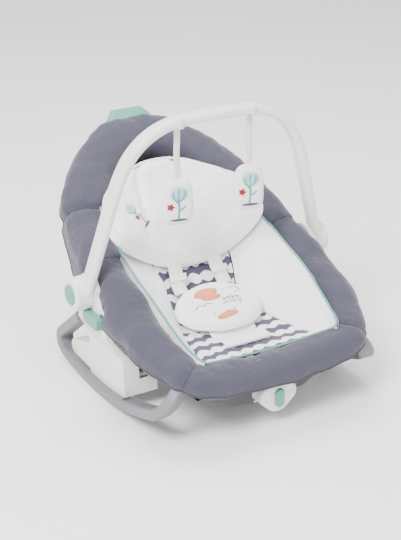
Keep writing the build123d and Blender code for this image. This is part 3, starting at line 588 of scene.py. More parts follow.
def pillow_mesh(name: str, outline: Sequence[tuple[float, float]], front: Skin, back: Skin, finish: str,
                rings: int) -> bpy.types.Object:
    """Make a closed pad over an outline.

    Args:
        name: The piece's name.
        outline: Points (a, b) round the pad, evenly spread.
        front: The front skin's place in millimetres at (a, b) and the share of the way to the edge.
        back: The back skin's place, in the same way.
        finish: The name of a finish.
        rings: How many rings of points from the middle to the edge.

    Returns:
        The pad.
    """
    middle = np.mean(np.array(outline), axis=0)
    points, count = [], len(outline)
    for skin in (front, back):
        points.append(spot(*skin(middle[0], middle[1], 0.0)))
        for ring in range(1, rings + 1):
            share = math.sin(ring / rings * math.pi / 2)
            for a, b in outline:
                across = middle[0] + (a - middle[0]) * share
                along = middle[1] + (b - middle[1]) * share
                points.append(spot(*skin(across, along, share)))
    size = 1 + rings * count
    faces = []
    for base in (0, size):
        for k in range(count):
            m = (k + 1) % count
            faces.append((base, base + 1 + k, base + 1 + m))
            for ring in range(rings - 1):
                low = base + 1 + ring * count
                faces.append((low + k, low + count + k, low + count + m, low + m))
    edge = 1 + (rings - 1) * count
    for k in range(count):
        m = (k + 1) % count
        faces.append((edge + k, size + edge + k, size + edge + m, edge + m))
    return new_piece(name, points, faces, finish)


def strip(name: str, line: Sequence[Vector], across: Sequence[Vector], width: float, thick: float,
          finish: str) -> bpy.types.Object:
    """Make a flat strap with rounded edges along a line.

    Args:
        name: The piece's name.
        line: Points in millimetres along the strap's middle.
        across: The direction across the strap at each point.
        width: The strap's width in millimetres.
        thick: Its thickness in millimetres.
        finish: The name of a finish.

    Returns:
        The strap.
    """
    samples = 6 * len(line)
    rows = catmull(np.array([list(p) + list(a) for p, a in zip(line, across)]), samples)
    section = [(-0.5, -0.2), (-0.46, -0.5), (0, -0.5), (0.46, -0.5), (0.5, -0.2),
               (0.5, 0.2), (0.46, 0.5), (0, 0.5), (-0.46, 0.5), (-0.5, 0.2)]
    points = []
    for i in range(samples):
        place, side = Vector(rows[i][:3]), Vector(rows[i][3:]).normalized()
        run = Vector(rows[min(i + 1, samples - 1)][:3]) - Vector(rows[max(i - 1, 0)][:3])
        up = side.cross(run).normalized()
        points += [spot(*(place + side * (a * width) + up * (b * thick))) for a, b in section]
    faces = grid_faces(samples, len(section), wrap_columns=True)
    faces.append(tuple(range(len(section))))
    faces.append(tuple(range((samples - 1) * len(section), samples * len(section))))
    return new_piece(name, points, faces, finish)


# ---------------------------------------------------------------- piping and stitches


class Edging:
    """Geometry Nodes that run a corded edge and its stitches along a line."""

    def __init__(self) -> None:
        """Build the tree once for every edge."""
        self.tree = bpy.data.node_groups.new("corded_edge", "GeometryNodeTree")
        self.keys: dict[str, str] = {}
        face = self.tree.interface
        face.new_socket("Geometry", in_out="OUTPUT", socket_type="NodeSocketGeometry")
        face.new_socket("Geometry", in_out="INPUT", socket_type="NodeSocketGeometry")
        for name, kind in (("Radius", "NodeSocketFloat"), ("Stitch Gap", "NodeSocketFloat"),
                           ("Stitch Radius", "NodeSocketFloat"), ("Cord", "NodeSocketMaterial"),
                           ("Thread", "NodeSocketMaterial")):
            self.keys[name] = face.new_socket(name, in_out="INPUT", socket_type=kind).identifier
        asked = add_node(self.tree, "NodeGroupInput").outputs
        join = add_node(self.tree, "GeometryNodeJoinGeometry")
        for part in (self.add_cord(asked), self.add_stitches(asked)):
            self.tree.links.new(part, join.inputs[0])
        smooth = add_node(self.tree, "GeometryNodeSetShadeSmooth", in_0=join.outputs[0])
        add_node(self.tree, "NodeGroupOutput", in_0=smooth.outputs[0])

    def add_cord(self, asked: bpy.types.NodeOutputs) -> bpy.types.NodeSocket:
        """Return the round cord along the line, in its own finish.

        Args:
            asked: The tree's inputs.

        Returns:
            The cord.
        """
        ring = add_node(self.tree, "GeometryNodeCurvePrimitiveCircle", in_Resolution=10,
                        in_Radius=asked["Radius"])
        tube = add_node(self.tree, "GeometryNodeCurveToMesh", in_Fill_Caps=True, in_Curve=asked["Geometry"],
                        in_Profile_Curve=ring.outputs[0])
        return add_node(self.tree, "GeometryNodeSetMaterial", in_Geometry=tube.outputs[0],
                        in_Material=asked["Cord"]).outputs[0]

    def add_stitches(self, asked: bpy.types.NodeOutputs) -> bpy.types.NodeSocket:
        """Return the row of small long stitches along the line, in the thread's finish.

        Args:
            asked: The tree's inputs.

        Returns:
            The stitches.
        """
        spread = add_node(self.tree, "GeometryNodeCurveToPoints", mode="LENGTH", in_Curve=asked["Geometry"],
                          in_Length=asked["Stitch Gap"])
        bead = add_node(self.tree, "GeometryNodeMeshIcoSphere", in_Subdivisions=1,
                        in_Radius=asked["Stitch Radius"])
        place = add_node(self.tree, "GeometryNodeInstanceOnPoints", in_Scale=(0.75, 0.75, 1.6),
                         in_Points=spread.outputs["Points"], in_Instance=bead.outputs["Mesh"],
                         in_Rotation=spread.outputs["Rotation"])
        real = add_node(self.tree, "GeometryNodeRealizeInstances", in_0=place.outputs[0])
        return add_node(self.tree, "GeometryNodeSetMaterial", in_Geometry=real.outputs[0],
                        in_Material=asked["Thread"]).outputs[0]

    def run(self, name: str, line: Sequence[Vector], radius: float, cord: str, thread: str,
            closed: bool = False) -> bpy.types.Object:
        """Make one edge.

        Args:
            name: The piece's name.
            line: Points in metres that the edge follows.
            radius: The cord's radius, in millimetres.
            cord: The cord's finish.
            thread: The stitches' finish.
            closed: Whether the line runs back to its start.

        Returns:
            The edge as a plain mesh.
        """
        curve = bpy.data.curves.new(name + "_line", "CURVE")
        curve.dimensions = "3D"
        spline = curve.splines.new("POLY")
        spline.points.add(len(line) - 1)
        for point, place in zip(spline.points, line):
            point.co = (*place, 1)
        spline.use_cyclic_u = closed
        guide = bpy.data.objects.new(name + "_line", curve)
        bpy.context.scene.collection.objects.link(guide)
        modifier = guide.modifiers.new("edge", "NODES")
        modifier.node_group = self.tree
        modifier[self.keys["Radius"]] = radius * MILLI
        modifier[self.keys["Stitch Gap"]] = STITCH_GAP
        modifier[self.keys["Stitch Radius"]] = (radius + 0.35) * 0.62 * MILLI
        modifier[self.keys["Cord"]] = FINISH.get(cord)
        modifier[self.keys["Thread"]] = FINISH.get(thread)
        bpy.context.view_layer.update()
        mesh = bpy.data.meshes.new_from_object(guide.evaluated_get(bpy.context.evaluated_depsgraph_get()))
        piece = bpy.data.objects.new(name, mesh)
        bpy.context.scene.collection.objects.link(piece)
        bpy.data.objects.remove(guide)
        return piece


EDGING = Edging()


# ---------------------------------------------------------------- drawings laid on cloth


@dataclass
class Drawing:
    """Flat patches and strokes that are laid down onto a piece's skin."""

    target: bpy.types.Object
    middle: Vector
    right: Vector
    up: Vector
    proud: float = 0.5
    above: float = 60.0

    def __post_init__(self) -> None:
        """Read the skin that the drawing lies on."""
        self.skin = skin_tree(self.target)
        self.out = self.right.cross(self.up).normalized()
        self.parts: dict[str, tuple[list, list]] = {}

    def lay(self, a: float, b: float) -> Vector:
        """Return the place on the skin under (a, b), in metres.

        Args:
            a: Millimetres to the right of the middle.
            b: Millimetres above it.

        Returns:
            The place, a little proud of the skin.
        """
        start = spot(*(self.middle + self.right * a + self.up * b + self.out * self.above))
        hit = self.skin.ray_cast(start, -self.out)[0]
        if hit is None:
            return spot(*(self.middle + self.right * a + self.up * b))
        return hit + self.out * (self.proud * MILLI)

    def add(self, finish: str, points: list, faces: list) -> None:
        """Add laid points and faces to the part of one finish.

        Args:
            finish: The name of a finish.
            points: Flat points (a, b) in millimetres.
            faces: Corner numbers of each face.
        """
        kept, found = self.parts.setdefault(finish, ([], []))
        base = len(kept)
        kept += [self.lay(a, b) for a, b in points]
        found += [tuple(base + i for i in f) for f in faces]

    def blob(self, finish: str, a: float, b: float, wide: float, tall: float, turn: float = 0.0,
             lobes: int = 0) -> None:
        """Add a filled oval, or a flower of lobes, with half sizes in millimetres.

        Args:
            finish: The name of a finish.
            a: The middle, to the right.
            b: The middle, upwards.
            wide: Half its width.
            tall: Half its height.
            turn: How far it turns, in radians.
            lobes: How many petals, or 0 for an oval.
        """
        points, count = [(a, b)], 36
        for share in (0.5, 1.0):
            for k in range(count):
                angle = 2 * math.pi * k / count
                reach = share * (1 + (0.28 * math.cos(lobes * angle) if lobes else 0))
                x, y = wide * reach * math.cos(angle), tall * reach * math.sin(angle)
                points.append((a + x * math.cos(turn) - y * math.sin(turn),
                               b + x * math.sin(turn) + y * math.cos(turn)))
        faces = [(0, 1 + k, 1 + (k + 1) % count) for k in range(count)]
        faces += [(1 + k, 1 + count + k, 1 + count + (k + 1) % count, 1 + (k + 1) % count)
                  for k in range(count)]
        self.add(finish, points, faces)

    def stroke(self, finish: str, line: Sequence[tuple[float, float]], width: float) -> None:
        """Add a stroke of one width along a smooth line.

        Args:
            finish: The name of a finish.
            line: Points (a, b) along the stroke.
            width: Its width in millimetres.
        """
        rows = catmull(np.array(line, float), 6 * len(line))
        run = np.gradient(rows, axis=0)
        side = np.stack([-run[:, 1], run[:, 0]], 1)
        side /= np.maximum(np.linalg.norm(side, axis=1, keepdims=True), TINY)
        points = []
        for place, edge in zip(rows, side):
            points += [tuple(place + edge * width / 2), tuple(place - edge * width / 2)]
        self.add(finish, points, grid_faces(len(rows), 2))

    def sprig(self, size: float, turn: float = 0.0, flower: float = -0.3) -> None:
        """Add a plain little sprig: a round crown, a stem with twigs, a red flower and a mound.

        Args:
            size: The sprig's height in millimetres.
            turn: How far it leans, in radians.
            flower: Where the flower is across, as a share of the size.
        """
        def at(a: float, b: float) -> tuple[float, float]:
            """Return a place of the sprig after its lean."""
            a, b = a * size, (b - 0.5) * size
            return a * math.cos(turn) - b * math.sin(turn), a * math.sin(turn) + b * math.cos(turn)

        self.blob("pale_teal", *at(0.02, 0.78), size * 0.24, size * 0.2, turn)
        self.stroke("teal", [at(0, 0.04), at(0.02, 0.35), at(0.0, 0.66), at(0.02, 0.9)], size * 0.045)
        self.stroke("teal", [at(0.01, 0.5), at(-0.1, 0.64), at(-0.15, 0.84)], size * 0.035)
        self.stroke("teal", [at(0.01, 0.56), at(0.13, 0.66), at(0.17, 0.86)], size * 0.035)
        self.stroke("teal", [at(0.01, 0.3), at(0.12, 0.36), at(0.2, 0.42)], size * 0.035)
        self.blob("red", *at(flower * 0.62, 0.42), size * 0.085, size * 0.085, turn, 5)
        self.blob("plum", *at(0.03, 0.03), size * 0.24, size * 0.035, turn)

    def make(self, name: str, body: Body | str) -> None:
        """Turn the drawing into one thin piece per finish, riding on a body.

        Args:
            name: The start of the pieces' names.
            body: The body that they ride on.
        """
        for finish, (points, faces) in self.parts.items():
            piece = new_piece(f"{name}_{finish}", points, faces, finish)
            modify(piece, "SOLIDIFY", thickness=0.0005, offset=0.0)
            carry(piece, body)


def carry(piece: bpy.types.Object, body: Body | str) -> bpy.types.Object:
    """Let a piece ride on a body.

    Args:
        piece: The piece.
        body: The body that it rides on.

    Returns:
        The piece.
    """
    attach(piece, body.value if isinstance(body, Body) else body)
    LOG.info("%s: %d faces on %s", piece.name, len(piece.data.polygons), body)
    return piece


def across_hip(piece: bpy.types.Object) -> bpy.types.Object:
    """Bake a piece's place into its mesh and leave it unattached to any body.

    Args:
        piece: The piece.

    Returns:
        The piece.
    """
    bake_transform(piece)
    LOG.info("%s: %d faces across the hip", piece.name, len(piece.data.polygons))
    return piece


# ---------------------------------------------------------------- cover


@dataclass
class Station:
    """One place on the padded roll: its middle, its half sizes each way, and how far its up line leans."""

    middle: Point
    outward: float
    inward: float
    over: float
    under: float
    lean: float = 0.0


@dataclass(frozen=True)
class Seam:
    """A seam across the roll: its share of the way from head to foot, its width as a share, and its depth."""

    place: float
    width: float
    pull: float


@dataclass
class Cover:
    """The grey padded cover: the roll round the back and seat, the rear panel, the liner and the edging."""

    samples: int = 288
    around: int = 44
    under_power: float = 0.62
    outer_power: float = 0.9
    inner_power: float = 0.74
    rim_angle: float = -0.42
    seam_end_angle: float = 2.9
    gather_pull: float = 0.35
    gather_reach: float = 3.2
    gather_turns: float = 11
    gather_drift: float = 40
    crease_depth: float = 4.6
    heart: Point = (0, 10, 150)
    panel_start_y: float = 20
    panel_heart_s: float = 60
    panel_lap: float = 8
    liner_half: float = 162
    sling_half: float = 150
    sling_rim_z: float = 82
    sling_fold: float = 2.4
    sling_flat: tuple[float, float] = (0.30, 0.19)
    roll: list[Station] = field(default_factory=lambda: [
        Station(tuple(on_back(0, 329, -20)), 46, 44, 38, 42, 1.0),
        Station(tuple(on_back(50, 320, -20)), 45, 46, 38, 42, 1.0),
        Station(tuple(on_back(97, 283, -20)), 45, 46, 38, 42, 1.0),
        Station(tuple(on_back(130, 243, -20)), 44, 46, 39, 42, 1.0),
        Station(tuple(on_back(154, 205, -20)), 44, 45, 39, 42, 1.0),
        Station(tuple(on_back(168, 160, -20)), 43, 40, 39, 42, 1.0),
        Station(tuple(on_back(178, 100, -14)), 46, 38, 54, 48, 0.9),
        Station(tuple(on_back(182, 45, -12)), 45, 36, 60, 48, 0.75),
        Station((189, -8, 192), 38, 35, 54, 44, 0.45),
        Station((193, -52, 186), 40, 38, 46, 42, 0.2),
        Station((194, -90, 174), 40, 39, 38, 34),
        Station((193, -130, 161), 38, 37, 36, 26),
        Station((188, -180, 148), 36, 33, 34, 24),
        Station((174, -222, 136), 36, 30, 28, 23),
        Station((148, -249, 121), 37, 29, 27, 22),
        Station((100, -252, 109), 35, 34, 29, 24),
        Station((50, -252, 105), 35, 34, 29, 22),
        Station((0, -252, 103), 35, 34, 30, 21),
    ])
    seams: tuple[Seam, ...] = (Seam(0.272, 0.009, 6.5), Seam(0.80, 0.007, 5.5), Seam(0.415, 0.009, 3.0))
    crossed_seams: int = 2

    def rows(self) -> np.ndarray:
        """Return the stations of the whole closed roll as numbers, right side first."""
        right = [[*s.middle, s.outward, s.inward, s.over, s.under, s.lean] for s in self.roll]
        left = [[-r[0], *r[1:]] for r in reversed(right[1:-1])]
        return catmull(np.array(right + left), self.samples, closed=True)

    def frames(self, rows: np.ndarray) -> list[tuple[Vector, Vector, Vector]]:
        """Return each sample's middle, outward line and up line.

        Args:
            rows: The samples of the roll, as rows gives them.

        Returns:
            The three vectors of each sample.
        """
        found = []
        heart = Vector(self.heart)
        for i in range(self.samples):
            here = Vector(rows[i][:3])
            run = (Vector(rows[(i + 1) % self.samples][:3]) - Vector(rows[i - 1][:3])).normalized()
            hint = (BACK_OUT * rows[i][7] + Vector((0, 0, 1)) * (1 - rows[i][7])).normalized()
            up = (hint - run * hint.dot(run)).normalized()
            out = run.cross(up).normalized()
            if out.dot(here - heart) < 0:
                out = -out
            found.append((here, out, up))
        return found

    def section(self, row: np.ndarray, angle: float) -> tuple[float, float]:
        """Return the outward and upward distance of the skin at an angle, squarer underneath.

        Args:
            row: One sample of the roll.
            angle: The angle round the section, 0 outwards.

        Returns:
            The two distances in millimetres.
        """
        a, b = math.cos(angle), math.sin(angle)
        power = self.under_power if b < 0 else (self.outer_power if a > 0 else self.inner_power)
        wide = row[3] if a > 0 else row[4]
        tall = row[5] if b > 0 else row[6]
        return square_off(a, power) * wide, square_off(b, power) * tall

    def gather(self, share: float, angle: float) -> float:
        """Return how far the skin is pulled in by the cross seams and their gathers, in millimetres.

        Args:
            share: The share of the way round the roll.
            angle: The angle round the section.

        Returns:
            The depth.
        """
        depth = 0.0
        half = min(share, 1 - share) * 2
        for seam in self.seams:
            away = abs(half - seam.place)
            depth += seam.pull * math.exp(-((away / seam.width) ** 2))
            fade = math.exp(-away / (seam.width * self.gather_reach))
            fold = 0.5 + 0.5 * math.sin(angle * self.gather_turns + share * self.gather_drift)
            depth += self.gather_pull * seam.pull * fade * fold
        here = Vector((share * 95, 1.1 * math.cos(angle), 1.1 * math.sin(angle)))
        ridge = max(0.0, 1 - 5.5 * abs(noise.noise(here))) ** 2
        patch = max(0.0, noise.noise(Vector((share * 24, math.cos(angle), 7.0))) + 0.25)
        return depth + self.crease_depth * ridge * patch

    def rim_line(self, proud: float) -> list[Vector]:
        """Return the points of the edge along the roll's outer foot.

        Args:
            proud: How far the edge stands off the skin, in millimetres.

        Returns:
            The points in metres.
        """
        rows = self.rows()
        found = []
        for i, (here, out, up) in enumerate(self.frames(rows)):
            a, b = self.section(rows[i], self.rim_angle)
            skin = out * a + up * b
            sink = self.gather(i / self.samples, self.rim_angle) - proud
            found.append(spot(*(here + skin - skin.normalized() * sink)))
        return found

    def cross_line(self, share: float, pull: float) -> list[Vector]:
        """Return the points of a seam that crosses the roll from its inner foot over to the rim.

        Args:
            share: The share of the way round the roll.
            pull: How deep the seam lies, in millimetres.

        Returns:
            The points in metres.
        """
        rows = self.rows()
        i = int(round(share * self.samples)) % self.samples
        here, out, up = self.frames(rows)[i]
        found = []
        for angle in np.linspace(self.rim_angle, self.seam_end_angle, 40):
            a, b = self.section(rows[i], angle)
            skin = out * a + up * b
            found.append(spot(*(here + skin - skin.normalized() * (pull + 0.6))))
        return found

    def make_roll(self) -> bpy.types.Object:
        """Make the padded roll with its seams and creases.

        Returns:
            The roll.
        """
        rows = self.rows()
        points = []
        for i, (here, out, up) in enumerate(self.frames(rows)):
            for k in range(self.around):
                angle = 2 * math.pi * k / self.around
                a, b = self.section(rows[i], angle)
                skin = out * a + up * b
                skin -= skin.normalized() * self.gather(i / self.samples, angle)
                points.append(spot(*(here + skin)))
        faces = grid_faces(self.samples, self.around, True, True)
        roll = subdivide(new_piece("cover_roll", points, faces, "cover"))
        ripple(roll, 5.2, (15, 15, 15), 3.0)
        ripple(roll, 2.6, (32, 32, 28), 9.0)
        ripple(roll, 0.7, (90, 90, 80), 5.0)
        return roll

    def make_rear_panel(self) -> bpy.types.Object:
        """Make the fabric that closes the back from behind, slightly domed.

        Returns:
            The panel.
        """
        outline = []
        for here, out, _ in self.frames(self.rows()):
            if here.y > self.panel_start_y:
                local = here - BACK_FOOT
                outline.append((local.x, local.dot(BACK_UP) + out.dot(BACK_UP) * self.panel_lap))
        right = [p for p in outline if p[0] >= 0]
        left = [p for p in outline if p[0] < 0]
        right.sort(key=lambda p: -math.atan2(p[1] - self.panel_heart_s, p[0] + 1))
        left.sort(key=lambda p: math.atan2(p[1] - self.panel_heart_s, -p[0]))

        def skin(level: float, dome: float) -> Skin:
            """Return the place of one side of the panel."""
            return lambda a, b, share: on_back(a, b, level - dome * (1 - share**2))

        return pillow_mesh("rear_panel", right + left, skin(-55, 4), skin(-58, 9), "cover", 12)

    def make_liner(self) -> bpy.types.Object:
        """Make the cloth under the seat and back pads, from the foot roll to the head.

        Returns:
            The liner.
        """
        path = [(-255, 88), (-225, 82), (-150, 78), (-75, 77), (-22, 98), (22, 140)]
        path += [tuple(on_back(0, s, -56)[1:]) for s in (70, 160, 240, 300)]
        rows = catmull(np.array(path, float), 60)
        across = np.linspace(-1, 1, 25)
        points = []
        for y, z in rows:
            up_back = max(0.0, (y - 120) / 170)
            wide = self.liner_half * math.sqrt(max(0.05, 1 - up_back**2))
            points += [spot(a * wide, y, z + 7 * abs(a) ** 4) for a in across]
        liner = new_piece("pad_liner", points, grid_faces(len(rows), len(across)), "lining")
        return subdivide(modify(liner, "SOLIDIFY", thickness=0.003, offset=0.0))

    def make_underside(self) -> bpy.types.Object:
        """Make the cloth slung under the foot roll round the vibration unit's bracket.

        Returns:
            The cloth.
        """
        path = np.array([(-250, 90), (-246, 62), (-232, 33), (-200, 29), (-150, 52), (-112, 78)], float)
        rows = catmull(path, 34)
        across = np.linspace(-1, 1, 45)
        points = []
        for y, z in rows:
            for a in across:
                drop = self.sling_rim_z - z
                lift = drop * abs(a) ** 2.6
                fold = self.sling_fold * math.sin(a * 21 + y * 0.05) * (1 - a * a) * max(0.0, drop / 40)
                points.append(spot(a * self.sling_half, y + fold * 0.5, z + lift + fold * 0.5))
        return subdivide(new_piece("underside_cloth", points, grid_faces(len(rows), len(across)), "lining"))

    def build(self) -> None:
        """Make the whole cover and hang it on the frame."""
        roll = self.make_roll()
        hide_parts("seat_cover", "back_cover")
        across_hip(roll)
        panel = self.make_rear_panel()
        ripple(panel, 2.0, (18, 18, 18), 2.0)
        carry(panel, Body.BACK)
        liner = self.make_liner()
        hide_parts("seat_board", "back_board")
        across_hip(liner)
        sling = self.make_underside()
        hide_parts("underside_cover")
        carry(sling, Body.BASE)
        rim = EDGING.run("cover_rim", hug(self.rim_line(0.4), roll), 1.9, "dark_edge", "dark_edge", True)
        across_hip(rim)
        for number, seam in enumerate(self.seams[:self.crossed_seams]):
            for name, side in SIDES.items():
                share = seam.place / 2 if side > 0 else 1 - seam.place / 2
                line = hug(self.cross_line(share, seam.pull), roll)
                cord = EDGING.run(f"cross_seam_{number}_{name}", line, 1.0, "dark_edge", "thread")
                carry(cord, Body.BACK if number == 0 else Body.BASE)


# ---------------------------------------------------------------- insert


@dataclass
class Rib:
    """One cross line of the insert: the middle, print edge, piped edge and the crease outside it."""

    middle: Point
    print_edge: Point
    piped_edge: Point
    crease: Point


@dataclass
class Insert:
    """The white padded insert with its printed middle, piped edge and soft side wings."""

    rows_made: int = 150
    wing_steps: int = 22
    wing_share: float = 0.8
    skirt_share: float = 0.2
    wing_sag: float = 15
    foot_sag_less: float = 6
    skirt_inward: Point = (5.0, 0, 4.0)
    wing_thick: float = 0.0025
    panel_thick: float = 0.006
    ribs: list[Rib] = field(default_factory=lambda: [
        Rib(tuple(on_back(0, 262, -22)), tuple(on_back(52, 258, -16)), tuple(on_back(96, 250, 2)),
            tuple(on_back(104, 254, -14))),
        Rib(tuple(on_back(0, 200, -26)), tuple(on_back(78, 198, -16)), tuple(on_back(138, 196, 8)),
            tuple(on_back(144, 198, -10))),
        Rib(tuple(on_back(0, 130, -28)), tuple(on_back(84, 128, -16)), tuple(on_back(148, 128, 24)),
            tuple(on_back(158, 128, -2))),
        Rib(tuple(on_back(0, 60, -28)), tuple(on_back(81, 56, -14)), tuple(on_back(153, 66, 34)),
            tuple(on_back(160, 66, 6))),
        Rib(tuple(on_back(0, 8, -34)), tuple(on_back(74, 6, -18)), (155, 0, 246), (161, 4, 222)),
        Rib((0, -16, 134), (70, -16, 143), (156, -44, 229), (162, -44, 206)),
        Rib((0, -48, 119), (76, -52, 124), (156, -88, 216), (162, -88, 192)),
        Rib((0, -92, 116), (90, -98, 119), (155, -128, 201), (161, -128, 181)),
        Rib((0, -136, 116), (99, -142, 119), (152, -168, 182), (158, -168, 166)),
        Rib((0, -176, 118), (110, -186, 121), (148, -205, 166), (154, -205, 152)),
        Rib((0, -206, 121), (124, -224, 131), (141, -236, 155), (147, -238, 142)),
        Rib((0, -220, 124), (122, -238, 142), (133, -246, 150), (137, -244, 132)),
    ])

    def table(self) -> np.ndarray:
        """Return the ribs along the insert, each as the numbers of its four points."""
        rows = [[*r.middle, *r.print_edge, *r.piped_edge, *r.crease] for r in self.ribs]
        return catmull(np.array(rows, float), self.rows_made).reshape(self.rows_made, 4, 3)

    def edge(self) -> list[Vector]:
        """Return the piped edge in metres: down the left, across the foot and up the right."""
        table = self.table()
        right = [Vector(p) for p in table[:, 2]]
        left = [Vector((-p.x, p.y, p.z)) for p in right]
        foot = [self.foot(a) for a in np.linspace(-0.96, 0.96, 31)]
        return [spot(*p) for p in left + foot + right[::-1]]

    def foot(self, share: float) -> Vector:
        """Return a point of the foot edge, from -1 at the left piped corner to 1 at the right one.

        Args:
            share: The share, from -1 to 1.

        Returns:
            The drawing point.
        """
        middle, half, corner = (Vector(p) for p in self.table()[-1][:3])
        a = abs(share)
        place = catmull(np.array([[-half.x, *half[1:]], middle, half, corner], float), 31)
        spread = 10 + int(round(a * 20))
        found = Vector(place[min(spread, 30)])
        return Vector((math.copysign(found.x, share), found.y, found.z))

    def make_panel(self) -> bpy.types.Object:
        """Make the printed middle with its own layout for the print.

        Returns:
            The panel.
        """
        table = self.table()
        across = np.linspace(-1, 1, 33)
        points, lay = [], []
        run = 0.0
        for i, (middle, half, _, _) in enumerate(table):
            if i:
                run += float(np.linalg.norm(middle - table[i - 1][0]))
            for a in across:
                t = abs(a)
                place = middle * (1 - t**2) + half * t**2
                place[0] = a * half[0]
                place[1] = middle[1] + (half[1] - middle[1]) * t**2
                points.append(spot(*place))
                lay.append((a * half[0] * MILLI, run * MILLI))
        panel = new_piece("printed_panel", points, grid_faces(len(table), len(across)), "print")
        layer = panel.data.uv_layers.new(name="lay")
        for loop in panel.data.loops:
            layer.data[loop.index].uv = lay[loop.vertex_index]
        ripple(panel, 2.2, (22, 22, 22), 12.0)
        return subdivide(modify(panel, "SOLIDIFY", thickness=self.panel_thick, offset=-1.0))

    def make_wings(self) -> bpy.types.Object:
        """Make the two padded wings from the print's edge over the piped edge to the crease.

        Returns:
            The wings, as one piece.
        """
        table = self.table()
        points, faces = [], []
        steps = self.wing_steps
        for side in SIDES.values():
            base = len(points)
            for i, (_, half, edge, crease) in enumerate(table):
                share = i / (self.rows_made - 1)
                for k in range(steps):
                    t = k / (steps - 1)
                    if t < self.wing_share:
                        w = t / self.wing_share
                        place = half * (1 - w) + edge * w
                        sag = math.sin(math.pi * w) ** 0.8 * (self.wing_sag - self.foot_sag_less * share)
                        place = place + np.array([0.62, 0.0, -0.5]) * sag * 0.9
                    else:
                        w = (t - self.wing_share) / self.skirt_share
                        place = edge * (1 - w) + (crease - np.array(self.skirt_inward)) * w
                    points.append(spot(side * place[0], place[1], place[2]))
            faces += [tuple(base + n for n in f) for f in grid_faces(self.rows_made, steps)]
        wings = new_piece("insert_wings", points, faces, "white")
        for face in wings.data.polygons:
            centre = face.center
            if face.normal.dot(Vector((0, 0.1, 0.42)) - centre) < 0:
                face.flip()
        modify(wings, "SOLIDIFY", thickness=self.wing_thick, offset=-1.0)
        subdivide(wings)
        ripple(wings, 4.6, (17, 17, 17), 20.0)
        return ripple(wings, 1.6, (42, 42, 42), 24.0)

    def build(self) -> None:
        """Make the insert and bake its pieces in place."""
        wings = self.make_wings()
        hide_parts("seat_insert", "back_insert")
        panel = self.make_panel()
        piping = EDGING.run("insert_piping", self.edge(), 2.1, "mint_edge", "teal")
        across_hip(wings)
        across_hip(panel)
        across_hip(piping)


# ---------------------------------------------------------------- pillow, harness


@dataclass
class Pillow:
    """The head pillow with two wings and a round cushion in its middle."""

    outline: tuple[tuple[float, float], ...] = (
        (0, 250), (52, 246), (100, 222), (136, 190), (159, 148), (164, 116), (157, 87), (139, 66), (100, 46),
        (46, 33),
    )
    round_radius: float = 64.0
    round_s: float = 126.0
    sunk: float = 20
    wing_half: float = 150
    wing_rise: float = 55
    head_rise: float = 42
    swell: float = 20
    fold_depth: float = 13
    fold_half: float = 7

    def ring(self) -> list[tuple[float, float]]:
        """Return the whole outline, evenly spread."""
        right = [list(p) for p in self.outline]
        left = [[-x, s] for x, s in reversed(right[1:])]
        return [tuple(p) for p in catmull(np.array(right + left), 96, closed=True)]

    def level(self, x: float, s: float) -> float:
        """Return the height of the surface that the pillow lies on.

        Args:
            x: Millimetres across.
            s: Millimetres up the back.

        Returns:
            The height off the back, in millimetres.
        """
        side = min(1.0, abs(x) / self.wing_half)
        top = max(0.0, (s - 190) / 60)
        return -self.sunk + self.wing_rise * side**1.9 + self.head_rise * top**1.3 * (1 - side * 0.6)

    def front(self, a: float, b: float, share: float) -> Vector:
        """Return the front skin.

        Args:
            a: Millimetres across.
            b: Millimetres up the back.
            share: The share of the way to the edge.

        Returns:
            The drawing point.
        """
        swell = self.swell * (1 - share**2.2) ** 0.62
        away = (abs(a) - (96 - 0.22 * b)) / self.fold_half
        fold = self.fold_depth * math.exp(-(away**2)) * max(0.0, min(1.0, (b - 64) / 50))
        return on_back(a, b, self.level(a, b) + 7 + swell - fold)

    def back(self, a: float, b: float, share: float) -> Vector:
        """Return the rear skin."""
        return on_back(a, b, self.level(a, b) - 3 - 4 * (1 - share**2))

    def build(self) -> None:
        """Make the pillow, its round cushion, its edge and its sprig."""
        ring = self.ring()
        pad = pillow_mesh("head_pillow_pad", ring, self.front, self.back, "white", 16)
        puff(pad, 5.0, 4.0, 0.0045)
        edge = hug([spot(*on_back(a, b, self.level(a, b) + 2)) for a, b in ring], pad)
        ripple(pad, 3.6, (19, 19, 19), 31.0)
        ripple(pad, 1.3, (48, 48, 48), 35.0)
        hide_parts("head_pillow")
        wide, tall = self.round_radius, self.round_radius * 0.98
        circle = [(wide * math.cos(t), self.round_s + tall * math.sin(t))
                  for t in np.linspace(0, 2 * math.pi, 72, endpoint=False)]
        round_pad = pillow_mesh(
            "round_head_cushion", circle,
            lambda a, b, share: on_back(a, b, self.level(a, b) + 23 + 12 * (1 - share**2.4) ** 0.7),
            lambda a, b, share: on_back(a, b, self.level(a, b) + 12), "white", 12)
        puff(round_pad, 3.0)
        round_edge = hug([spot(*on_back(a, b, self.level(a, b) + 18)) for a, b in circle], round_pad)
        rim = EDGING.run("round_cushion_edge", round_edge, 1.3, "white", "white", True)
        ripple(round_pad, 2.6, (26, 26, 26), 40.0)
        piping = EDGING.run("pillow_edge", edge, 2.4, "white", "white", True)
        sprig = Drawing(pad, on_back(-88, 138, 30), Vector((1, 0, 0)), BACK_UP.copy())
        sprig.sprig(54, 0.75, -0.2)
        sprig.make("pillow_sprig", Body.BACK)
        for piece in (pad, round_pad, rim, piping):
            carry(piece, Body.BACK)


